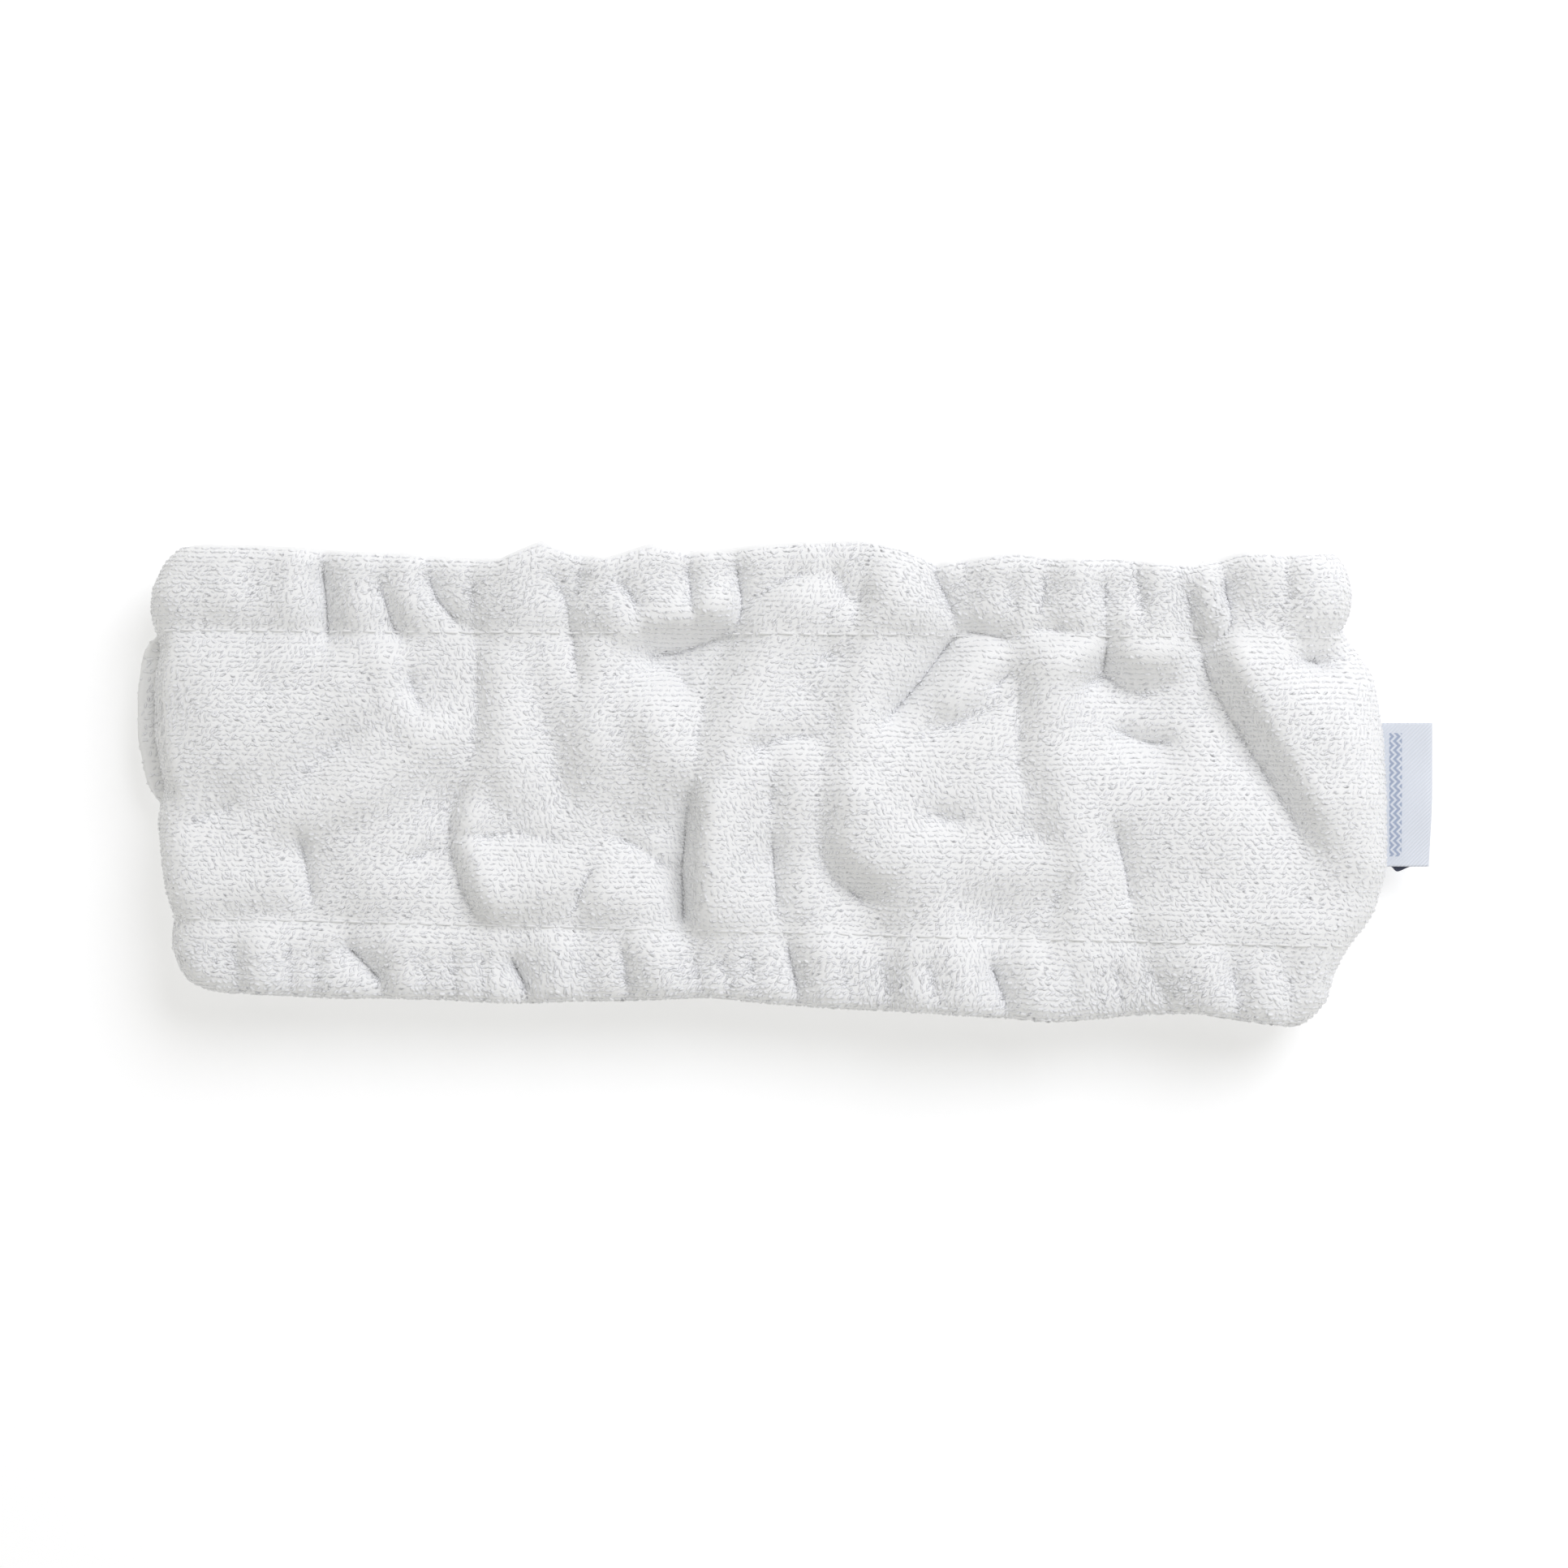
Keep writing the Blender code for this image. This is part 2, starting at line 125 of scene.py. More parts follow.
gathers = {
    "bodyPuff": 0.6,  # how far the cloth stands off where nothing holds it
    "hemPuff": 0.7,
    "bodyReach": 6.0,  # how far a crease pulls the cloth round it
    "hemReach": 3.0,
    # height, which side of the route is high, top to foot in plan, then x, y and depth along the foot
    "ledges": [
        (2.2, 1, 3.4, [(-15.8, 1, -1.5), (-17, -8, -7), (-17.6, -18, -9), (-17.8, -27, -7.5)]),
        (2.2, 1, 6.0, [
            (6.4, 4, -0.2), (5.2, -5, -0.6), (5.4, -11, -2.4), (8.6, -17, -5.4), (17, -22.4, -6.8),
        ]),
        (3.9, 1, 5.0, [
            (68.6, 38, -1.2), (71.4, 29, -2.8), (74.6, 19, -6.2), (80, 9, -5.6), (85.6, 0, -4.4),
            (90, -8, -2.6), (93, -15, -0.8),
        ]),
        (1.4, 1, 2.6, [
            (-55, 3, -1.4), (-58, -5, -2.6), (-58.6, -10, -3.4), (-56.4, -17, -3.8), (-52.4, -25.5, -3),
        ]),
        (2.2, 1, 5.6, [
            (50.4, 15.2, -2.8), (53.4, 17.4, -4.8), (56, 18.4, -6.2), (60.4, 16.6, -6.4), (65, 16.6, -5),
            (71, 19.2, -3.2),
        ]),
        (2.4, 1, 6.0, [(-26, 20.4, -4), (-23, 22.4, -6.4), (-16, 23.8, -6.8), (-8, 26.4, -4.8)]),
        (-4.2, 1, 2.8, [(56.6, 9.8, -5), (60.5, 8, -8.6), (65, 6.8, -9.2), (69.4, 7.2, -6.4)]),
    ],
    "creases": [  # depth, then the route
        (2.6, [(-80.5, 39.5), (-80.3, 31), (-80, 23)]),
        (1.4, [(-72, 37), (-69.4, 31), (-66.6, 22)]),
        (2.8, [(-63.6, 38.5), (-61, 32), (-55.5, 27)]),
        (1.2, [(-54.4, 36), (-54, 25)]),
        (1.5, [(-53.8, 28), (-53.5, 14), (-54, 6), (-56, 0)]),
        (2.2, [(-41, 38.5), (-38, 31), (-36.6, 24), (-35.6, 15)]),
        (1.4, [(-35, 39), (-36.6, 31)]),
        (1.5, [(-30, 37), (-25, 30)]),
        (2.2, [(-17, 39), (-15.8, 30)]),
        (3.2, [(-8.8, 40), (-7.6, 33), (-7.2, 27)]),
        (3.6, [(-25, 20.2), (-19.5, 19), (-15, 15)]),
        (1.7, [(-7, 29), (-3, 33.5), (1.5, 36), (7, 36.5)]),
        (2.0, [(8.5, 38), (12, 30)]),
        (2.2, [(14.4, 35), (13.4, 29)]),
        (1.1, [(13, 31), (11.2, 20), (8.4, 9), (6.4, 1)]),
        (1.4, [(-7.5, 27.5), (-12.6, 18), (-15, 8), (-15.8, 0)]),
        (2.6, [(25, 39), (28.6, 32), (30.5, 27)]),
        (6.2, [(31.5, 28), (24.5, 18.5), (16, 9)]),
        (3.2, [(31, 28), (37, 25.6), (40.5, 25.6)]),
        (1.1, [(39, 37), (41, 29)]),
        (1.3, [(46, 38), (45, 29)]),
        (2.0, [(43, 27), (50, 27)]),
        (1.5, [(42.8, 26), (41.3, 12), (41, 3), (42.2, -3)]),
        (2.6, [(36, 16.5), (41, 20.5)]),
        (1.4, [(55.5, 37), (57, 25)]),
        (2.8, [(51.6, 16.4), (54.6, 19.4), (57.2, 25.4)]),
        (1.4, [(62, 38.5), (63, 29)]),
        (2.8, [(76.6, 37.5), (77.8, 23)]),
        (1.0, [(88, 39.5), (88.5, 31)]),
        (2.8, [(88.5, 22.6), (95, 20.6), (101, 21.4)]),
        (0.9, [(-2.4, 0), (-1.8, -12)]),
        (2.8, [(-2, -8), (-1.2, -25.5)]),
        (2.0, [(-2, 8), (6.4, 8)]),
        (3.2, [(-31.5, -8.5), (-26, -11), (-19.5, -16)]),
        (1.6, [(-57.5, -9.6), (-46, -9), (-35, -11)]),
        (3.0, [(-33, -14), (-37.5, -22.5)]),
        (2.6, [(-66.5, 21), (-65, 15), (-62.5, 10.5)]),
        (3.0, [(-84.8, -6.5), (-84, -14), (-82.4, -22.5)]),
        (2.2, [(-67.5, -14), (-60.5, -11)]),
        (1.4, [(-106, -8), (-95, -3)]),
        (3.4, [(57.3, -5.5), (59.6, -14), (61.2, -23.5)]),
        (1.8, [(50.5, -14.5), (46.5, -23.5)]),
        (3.8, [(-78.5, -27.5), (-75, -30), (-69.5, -36)]),
        (4.2, [(-48.5, -30), (-44.5, -37)]),
        (2.2, [(-28.4, -27), (-27, -37)]),
        (3.4, [(0.4, -26.5), (3, -38.5)]),
        (1.0, [(16.5, -29), (19.5, -39.5)]),
        (3.2, [(35.5, -30.5), (39.5, -40)]),
        (1.1, [(62.5, -29), (69, -40.5)]),
        (0.4, [(-101, -27), (-100, -36)]),
        (0.5, [(-96, -27), (-95, -37)]),
        (1.2, [(-87, -27.5), (-86, -38)]),
        (1.6, [(-81.5, -28), (-82, -38)]),
        (1.2, [(-64, -28), (-63, -38)]),
        (1.6, [(-58, -28), (-57, -38.5)]),
        (1.4, [(-53, -28), (-52.5, -39)]),
        (1.2, [(-36, -28), (-35, -38.5)]),
        (1.3, [(-16, -28), (-14, -38)]),
        (1.6, [(-11.5, -29), (-9, -38)]),
        (1.6, [(-6.5, -27.5), (-4, -38.5)]),
        (1.4, [(9.5, -29), (11, -38)]),
        (1.4, [(24.5, -29.5), (26.5, -38.5)]),
        (1.0, [(50, -30), (51, -40.5)]),
        (1.0, [(54, -31), (55.5, -40.5)]),
        (1.4, [(58, -31), (60, -41)]),
        (1.2, [(78, -31), (80, -42)]),
        (0.9, [(88, -32), (89, -42)]),
    ],
    "ridges": [  # height, width, then the route
        (2.6, 4.6, [(2, 32), (-3, 22), (-8.5, 9), (-10.8, -4), (-10.6, -14), (-10, -24)]),
        (1.4, 3.0, [(2.6, 4), (2.4, -8), (3.4, -20)]),
        (1.9, 5.4, [
            (17, 33), (14.5, 22), (12.8, 10), (12.8, 0), (17, -8), (22.5, -17), (27.5, -26), (31, -35),
        ]),
        (1.8, 2.2, [(36.5, 24), (29.5, 14.5)]),
        (0.9, 3.4, [(20.5, -12), (29, -11.6), (35, -13), (41, -15), (46, -14.6)]),
        (2.2, 4.2, [(46.5, 24), (46.8, 10), (49, 0), (51, -11), (51.8, -25), (51, -34)]),
        (2.4, 3.8, [(-84, -7), (-75, -2), (-67, 4), (-61, 9)]),
        (1.6, 3.0, [(-70.5, 21), (-67.5, 14), (-64, 9)]),
        (2.0, 5.0, [(-51, -18.5), (-38, -17.5)]),
        (2.2, 4.2, [(-31, -18.4), (-23, -21.2)]),
        (2.6, 5.0, [(-23.5, 12), (-19, 5)]),
        (1.0, 4.2, [(-103, -20.5), (-95, -17.5), (-87, -17)]),
        (1.4, 6.0, [(-102, 20), (-96, 8)]),
        (1.6, 3.4, [(-49, 20), (-48, -1)]),
        (1.4, 3.0, [(-33, 22), (-33, 6)]),
        (1.2, 9.0, [(66, 6), (76, -4)]),
        (0.8, 3.4, [(66, -25.5), (90, -26.5)]),
        (2.0, 5.0, [(86, 22), (96, 6), (101, -12)]),
        (1.4, 2.6, [(-86, 39), (-86, 30)]),
        (1.4, 2.8, [(-74.5, 40), (-74, 28)]),
        (1.4, 2.6, [(-67, 40), (-63.5, 28)]),
        (1.6, 4.0, [(-47.5, 39), (-47, 28)]),
        (1.4, 2.4, [(-31, 39), (-29.5, 28)]),
        (1.6, 3.0, [(20, 37), (22, 30)]),
        (1.4, 2.6, [(35.5, 39), (36.5, 30)]),
        (1.4, 3.0, [(51, 39), (51.5, 30)]),
        (1.4, 2.8, [(65, 39), (66.5, 28)]),
        (1.4, 5.0, [(86, 37), (94, 32)]),
        (1.4, 2.6, [(-92, -29), (-91, -37)]),
        (1.6, 3.0, [(-67, -28), (-66, -36)]),
        (1.4, 2.6, [(-40, -28), (-39, -37)]),
        (1.8, 3.0, [(-23, -28), (-22, -36)]),
        (1.8, 3.6, [(7, -29), (8, -37)]),
        (1.6, 2.6, [(23, -30), (25, -38)]),
        (1.8, 3.2, [(43, -31), (45, -39)]),
        (1.8, 3.0, [(72.5, -31), (75.5, -40)]),
        (1.4, 2.6, [(83, -33), (84, -41)]),
    ],
    "hollows": [  # depth, half length, half width, turn in degrees, centre
        (2.6, 6.0, 3.6, -24, (-18.5, 21.5)),
        (3.0, 10.0, 3.4, 40, (-80.5, 5)),
        (1.2, 7.0, 3.2, 35, (-87, 17)),
        (1.8, 3.6, 5.0, 0, (-61.5, -3.6)),
        (2.4, 14.0, 3.2, -74, (-40.6, 6)),
        (1.4, 6.0, 4.0, -20, (-27, -6)),
        (1.4, 9.0, 5.0, 0, (-46, -3)),
        (3.2, 2.6, 2.3, 0, (-4.6, 6.6)),
        (1.7, 4.6, 8.0, 0, (4.6, 17)),
        (2.2, 2.6, 2.4, 0, (8.4, 22.5)),
        (3.4, 9.5, 2.8, 25, (31, 10.8)),
        (2.4, 4.6, 2.1, -8, (28, -6.2)),
        (1.4, 4.6, 2.6, 0, (42.5, -9)),
        (1.8, 8.5, 4.2, -8, (35, -22)),
        (2.2, 8.0, 4.4, 4, (62, 12.6)),
        (3.2, 2.6, 3.6, 0, (57.4, 21.4)),
        (4.4, 5.5, 2.4, 4, (95, 21.2)),
        (1.0, 6.0, 8.0, 0, (83, 31)),
    ],
    "footWidth": 0.6,  # of the flat at the foot of a ledge
    "sharpness": (0.45, 1.5),  # each crease is cut this share deeper, over this half width
    "swell": (0.9, 22.0),  # height and feature size of the broadest unevenness
    "creaseEnds": 0.22,  # the share of its route over which a crease fades at each end
    "ledgeEnds": 0.15,
    "cutEnds": 0.25,
    "unevenness": [(0.4, 12, 12), (0.24, 5, 5)],  # height, then feature size along and across
    "ripples": (0.28, 2.4, 9.0),  # in the casings only
    "topEdge": [  # how far the fold of the hem stands off the casing's, at each x
        (-112, -2), (-107, -1), (-92, -1.2), (-82, -1.8), (-75, -2.4), (-66, -2.6), (-58, -3.4),
        (-49.5, -3.6), (-42.5, -0.4), (-37, -2.4), (-31, -3.4), (-23.5, -0.9), (-17, -2.2), (-12.5, -2),
        (-5, -1), (4, -0.4), (13.5, 0), (20, -1.4), (26.5, -4.2), (34, -3.2), (41, -2.2), (49, -3.4),
        (57.5, -3), (65, -4), (72, -4.6), (80.5, -2.1), (88, -2.6), (96, -2), (101, -4),
    ],
    "bottomEdge": [
        (-112, 3.4), (-107, 2.3), (-98, 0.8), (-90, 0.6), (-80, -0.1), (-70, 0.4), (-60, 0.5),
        (-46.5, -0.1), (-38, 1.2), (-28, 1.8), (-19, 3.0), (-12.5, 3.6), (-4, 2.4), (6, 1.6), (16, 1.2),
        (29, 0.7), (38, 0), (47.5, -0.8), (55, 0.4), (63, 2.2), (72, 3.2), (80, 1.4), (89, -0.3),
        (97, -0.2),
    ],
}

plan = {"low": (-122.0, -52.0), "high": (116.0, 52.0), "cell": 0.75, "rounds": 900, "soften": 6}
unpinned = 99.0


def lengthAlong(line):  # how far along a line each of its points is
    return np.concatenate([[0.0], np.cumsum(np.linalg.norm(line[1:] - line[:-1], axis=1))])


def columnsAt(stops, along, field):
    return np.stack([np.interp(stops, along, field[:, k]) for k in range(field.shape[1])], -1)


def onRoute(route, fineness):  # points along a route, and each one's share of the way
    route = np.array(route, float)
    along = lengthAlong(route[:, :2])
    stops = np.linspace(0, along[-1], max(2, int(along[-1] / fineness) + 1))
    return (*columnsAt(stops, along, route).T, stops / along[-1])


def faded(share, reach):  # 1 in the middle of a route, and less within reach of either end
    return np.clip(np.minimum(share, 1 - share) / reach, 0, 1)


def planAxes():
    xs = np.arange(plan["low"][0], plan["high"][0], plan["cell"])
    ys = np.arange(plan["low"][1], plan["high"][1], plan["cell"])
    return xs, ys


def softNoise(seed, wide, tall, shape):  # smooth noise about 0, with features of that size
    draw = np.random.default_rng(seed)
    atRow = np.arange(shape[0]) * plan["cell"] / tall
    atColumn = np.arange(shape[1]) * plan["cell"] / wide
    coarse = draw.normal(0.0, 1.0, (int(atRow[-1]) + 4, int(atColumn[-1]) + 4))
    i, j = atRow.astype(int), atColumn.astype(int)
    fi, fj = smooth(atRow - i)[:, None], smooth(atColumn - j)[None, :]
    upper = coarse[i][:, j] * (1 - fj) + coarse[i][:, j + 1] * fj
    lower = coarse[i + 1][:, j] * (1 - fj) + coarse[i + 1][:, j + 1] * fj
    return upper * (1 - fi) + lower * fi


def pin(layer, px, py, value, choose):
    xs, ys = planAxes()
    column = np.round((px - xs[0]) / plan["cell"]).astype(int)
    row = np.round((py - ys[0]) / plan["cell"]).astype(int)
    for i, j, v in zip(row, column, value):
        layer[i, j] = v if abs(layer[i, j]) == unpinned else choose(layer[i, j], v)


def around(sheet):
    edged = np.pad(sheet, 1, mode="edge")
    return edged[:-2, 1:-1] + edged[2:, 1:-1] + edged[1:-1, :-2] + edged[1:-1, 2:]


def relaxed(target, reach, low, high):  # a membrane drawn to its target and held at its pins
    cell = plan["cell"]
    pull = (cell / reach) ** 2
    sheet = target.copy()
    for _ in range(plan["rounds"]):
        sheet = (around(sheet) + pull * target) / (4 + pull)
        sheet = np.minimum(np.maximum(sheet, high), low)
    return sheet


def inHem(heights):  # 1 in a casing and 0 in the body
    return np.maximum(smooth((heights - upperStitch + 1.5) / 3), smooth((lowerStitch + 1.5 - heights) / 3))


def gatherField(made, seed):  # how far the cloth stands off its smooth shape, over the plan
    xs, ys = planAxes()
    x, y = np.meshgrid(xs, ys)
    heights = heightAt(x, y)
    hem = inHem(heights)
    target = made["bodyPuff"] * (1 - hem) + made["hemPuff"] * hem
    height, wide = made["swell"]
    target = target + height * softNoise(seed, wide, wide, x.shape)
    shaped = np.zeros(x.shape)
    for k, (height, wide, tall) in enumerate(made["unevenness"]):
        shaped = shaped + height * softNoise(seed + 1 + k, wide, tall, x.shape)
    height, wide, tall = made["ripples"]
    shaped = shaped + hem * height * softNoise(seed + 9, wide, tall, x.shape)
    for height, width, route in made["ridges"]:
        px, py, _ = onRoute(route, 1.0)
        near = np.full(x.shape, np.inf)
        for a, b in zip(px, py):
            near = np.minimum(near, (x - a) ** 2 + (y - b) ** 2)
        shaped = shaped + height * np.exp(-near / width**2)
    for depth, halfLength, halfWidth, turn, centre in made["hollows"]:
        c, s = math.cos(math.radians(turn)), math.sin(math.radians(turn))
        dx, dy = x - centre[0], y - centre[1]
        along, across = (dx * c + dy * s) / halfLength, (dy * c - dx * s) / halfWidth
        shaped = shaped - depth * np.exp(-(along**2 + across**2))
    low, high = np.full(x.shape, unpinned), np.full(x.shape, -unpinned)
    for depth, route in made["creases"]:
        px, py, share = onRoute(route, plan["cell"] / 2)
        pin(low, px, py, -depth * faded(share, made["creaseEnds"]) ** 0.7, np.minimum)
    for height, side, lip, route in made["ledges"]:
        px, py, foot, share = onRoute(route, plan["cell"] / 2)
        ends = faded(share, made["ledgeEnds"]) ** 0.7
        across = np.stack([-np.gradient(py), np.gradient(px)], -1)
        across = side * across / np.linalg.norm(across, axis=1, keepdims=True)
        for shift in (0.0, made["footWidth"]):
            pin(low, px + across[:, 0] * shift, py + across[:, 1] * shift, foot * ends, np.minimum)
        lipX, lipY = px + across[:, 0] * lip, py + across[:, 1] * lip
        shown = ends > 0.55
        pin(high, lipX[shown], lipY[shown], (height * ends)[shown], np.maximum)
    reach = made["bodyReach"] * (1 - hem) + made["hemReach"] * hem
    sheet = relaxed(target, reach, low, high) + shaped
    for _ in range(plan["soften"]):
        sheet = sheet * 0.5 + around(sheet) * 0.125
    deeper, width = made["sharpness"]
    for depth, route in made["creases"]:
        cut = np.zeros(x.shape)
        px, py, share = onRoute(route, 0.8)
        for a, b, fade in zip(px, py, faded(share, made["cutEnds"])):
            cut = np.maximum(cut, fade * np.exp(-((x - a) ** 2 + (y - b) ** 2) / width**2))
        sheet = sheet - deeper * depth * cut
    return sheet


def sampled(field, x, y):
    xs, ys = planAxes()
    u = np.clip((x - xs[0]) / plan["cell"], 0, len(xs) - 1.001)
    v = np.clip((y - ys[0]) / plan["cell"], 0, len(ys) - 1.001)
    i, j = v.astype(int), u.astype(int)
    fi, fj = v - i, u - j
    return (
        field[i, j] * (1 - fi) * (1 - fj)
        + field[i, j + 1] * (1 - fi) * fj
        + field[i + 1, j] * fi * (1 - fj)
        + field[i + 1, j + 1] * fi * fj
    )


backFolds = {
    "from": -104.0,
    "to": 92.0,
    "gap": (6, 15),
    "upperDepth": (0.8, 2.2),
    "lowerDepth": (0.8, 1.8),
    "bodyDepth": (1.6, 3.2),
    "bodyShare": 0.55,  # of the folds that go on into the body
    "instead": {"ledges": [], "ridges": [], "hollows": [], "bodyPuff": 0.4, "hemPuff": 0.3},
}


def backGathers(seed):  # the ply underneath lies flat, so its cloth only ever lifts off the table
    draw = np.random.default_rng(seed)
    creases = []
    x = backFolds["from"]
    while x < backFolds["to"]:
        x += draw.uniform(*backFolds["gap"])
        creases.append((draw.uniform(*backFolds["upperDepth"]), [(x, 39.5), (x + draw.uniform(-2, 2), 27)]))
        lower = x - 4
        depth = draw.uniform(*backFolds["lowerDepth"])
        creases.append((depth, [(lower, -28), (lower + draw.uniform(-2, 2), -39)]))
        if draw.random() < backFolds["bodyShare"]:
            bend = draw.uniform(-7, 7)
            top, bottom = draw.uniform(15, 25), draw.uniform(-24, -2)
            depth = draw.uniform(*backFolds["bodyDepth"])
            creases.append((depth, [(x, top), (x + bend, (top + bottom) / 2), (x + bend / 2, bottom)]))
    return {**gathers, **backFolds["instead"], "creases": creases}


frontRise = gatherField(gathers, 7)
backRise = np.minimum(gatherField(backGathers(19), 23) - 0.4, 0)
print("gathers laid out", frontRise.shape)


# the towelling strip: one cloth, its two long edges turned in as casings, its ends sewn as the seam

strip = {
    "thickness": 2.0,
    "pileRoom": 0.8,  # the loops stand this far off the cloth
    "turnInDepth": 4.3,  # from the outer layer's middle to the turned-in layer's
    "rawEdge": 3.5,  # how far the turned-in layer goes past the stitching
    "grooveDepth": (1.0, 0.8),  # the upper and lower stitching pull the casings down by this
    "grooveReach": 3.4,
    "stitchShows": (  # at each x, how strongly the stitching shows; folds cross over it in places
        [(-112, 1), (-78, 1), (-55, 0.8), (-47, 0.3), (-40, 0.8), (-28, 0.8), (-24, 1.3), (-8, 1.3),
         (-4, 0.1), (10, 0.1), (14, 0.4), (28, 0.5), (32, 0.9), (52, 1), (60, 0.5), (76, 0.2), (82, 0.7),
         (104, 0.8)],
        [(-112, 1), (-86, 1), (-80, 0.4), (-57, 0.5), (-52, 1), (-36, 1), (-33, 0.4), (-20, 0.5),
         (-15, 1), (1, 0.8), (18, 1), (22, 0.2), (32, 0.2), (35, 1.2), (45, 1.2), (48, 0.1), (57, 0.1),
         (61, 0.8), (66, 0.35), (84, 0.35), (90, 0.1), (100, 0)],
    ),
    "allowance": 11.0,  # the ends turned in at the seam
    "slit": 0.06,  # half the gap where the casings' ends meet at the seam
    "bodySlit": 1.15,  # and where the body's ends turn in
    "columns": {"corner": 12, "front": 196, "fold": 26, "back": 104},
    "rowStep": 1.1,
    "leftEdge": [
        (46, -104.5), (42.5, -107.5), (39, -110.2), (34, -112.2), (28, -112.8), (24, -113.4),
        (15, -114.5), (7, -114.5), (0, -113.2), (-6, -111.6), (-14, -110.4), (-22, -109.4), (-32, -108.4),
        (-37, -106.6), (-41, -103.5), (-44, -101),
    ],
    "rightEdge": [
        (46, 96), (42.5, 98.6), (39, 100.2), (35, 100.9), (31, 100.6), (28, 99.9), (25, 101.8),
        (19.4, 104.9), (9.4, 106.6), (-2, 107), (-13, 107), (-20, 105), (-26, 101.4), (-30, 98.2),
        (-35, 96.6), (-39, 93.5), (-42, 90.5),
    ],
    "foldLobe": 2.8,  # the front ply's fold stands back from the ply underneath by this
    "foldCorner": 0.56,  # 1 is a round fold, and less is squarer on the front
    "lipReach": 2.6,  # the ply underneath shows past it by this
    "lipLift": 3.4,
    "lipAt": (125, 17),  # degrees round the fold, and how wide
}
fullRadius = thick / 2 - strip["pileRoom"] - strip["thickness"] / 2
cornerReach = thick / 2
foldInset = strip["pileRoom"] + strip["thickness"] / 2


def edgeAt(table, heights):
    table = np.array(sorted(table))
    return np.interp(heights, table[:, 0], table[:, 1])


def casingProfile(stitch, fold, sign):  # (height, depth) from the raw edge round the fold to the body
    deep = strip["turnInDepth"]
    half = deep / 2
    tip = fold - sign * foldInset
    straight = tip - sign * (half + 1.5)  # where the fold's curve starts and ends
    points = [(stitch - sign * strip["rawEdge"], 3.2), (stitch - sign * 1.5, 3.05), (stitch, 3.0)]
    points += [(stitch + sign * 1.8, 3.4), (stitch + sign * 4.2, deep), (straight, deep)]
    for turn in np.linspace(-80, 80, 9):
        a = math.radians(turn)
        points.append((tip - sign * half * (1 - math.cos(a)), half - half * math.sin(a)))
    points += [(straight, 0.0), (stitch + sign * 4.5, 0.0), (stitch + sign * 1.8, 0.3)]
    points += [(stitch, 0.7), (stitch - sign * 1.5, 0.35), (stitch - sign * 4.5, 0.0)]
    return points


def eased(line):  # one round of smoothing, with the ends held
    line[1:-1] = (line[:-2] + 2 * line[1:-1] + line[2:]) / 4


def stripRows():
    upper = casingProfile(upperStitch, upperFold, 1)
    lower = casingProfile(lowerStitch, lowerFold, -1)
    points = np.array(upper + lower[::-1])
    along = lengthAlong(points)
    stops = np.linspace(0, along[-1], int(along[-1] / strip["rowStep"]) + 1)
    rows = columnsAt(stops, along, points)
    for _ in range(2):  # rounds the corners of the profile
        eased(rows)
    return rows[:, 0], rows[:, 1], stops


def loopStations():  # (part of the loop, share of that part) for each column, from seam to seam
    counts = [strip["columns"][name] for name in ("corner", "front", "fold", "back", "corner")]
    stations = [(part, i / count) for part, count in enumerate(counts) for i in range(count)]
    return stations + [(4, 1.0)]


def foldLobes(degrees, heights):  # the ply underneath shows past the front one's fold, over the left end
    shows = smooth((28 - heights) / 6) * smooth((heights + 9) / 8)
    under = smooth((degrees - 90) / 40)
    lobe = strip["foldLobe"] * (1 - under) * smooth(degrees / 40)
    middle, wide = strip["lipAt"]
    lifted = strip["lipLift"] * np.exp(-(((degrees - middle) / wide) ** 2))
    return shows * (lobe - strip["lipReach"] * under * (1 - smooth((degrees - 135) / 45))), shows * lifted


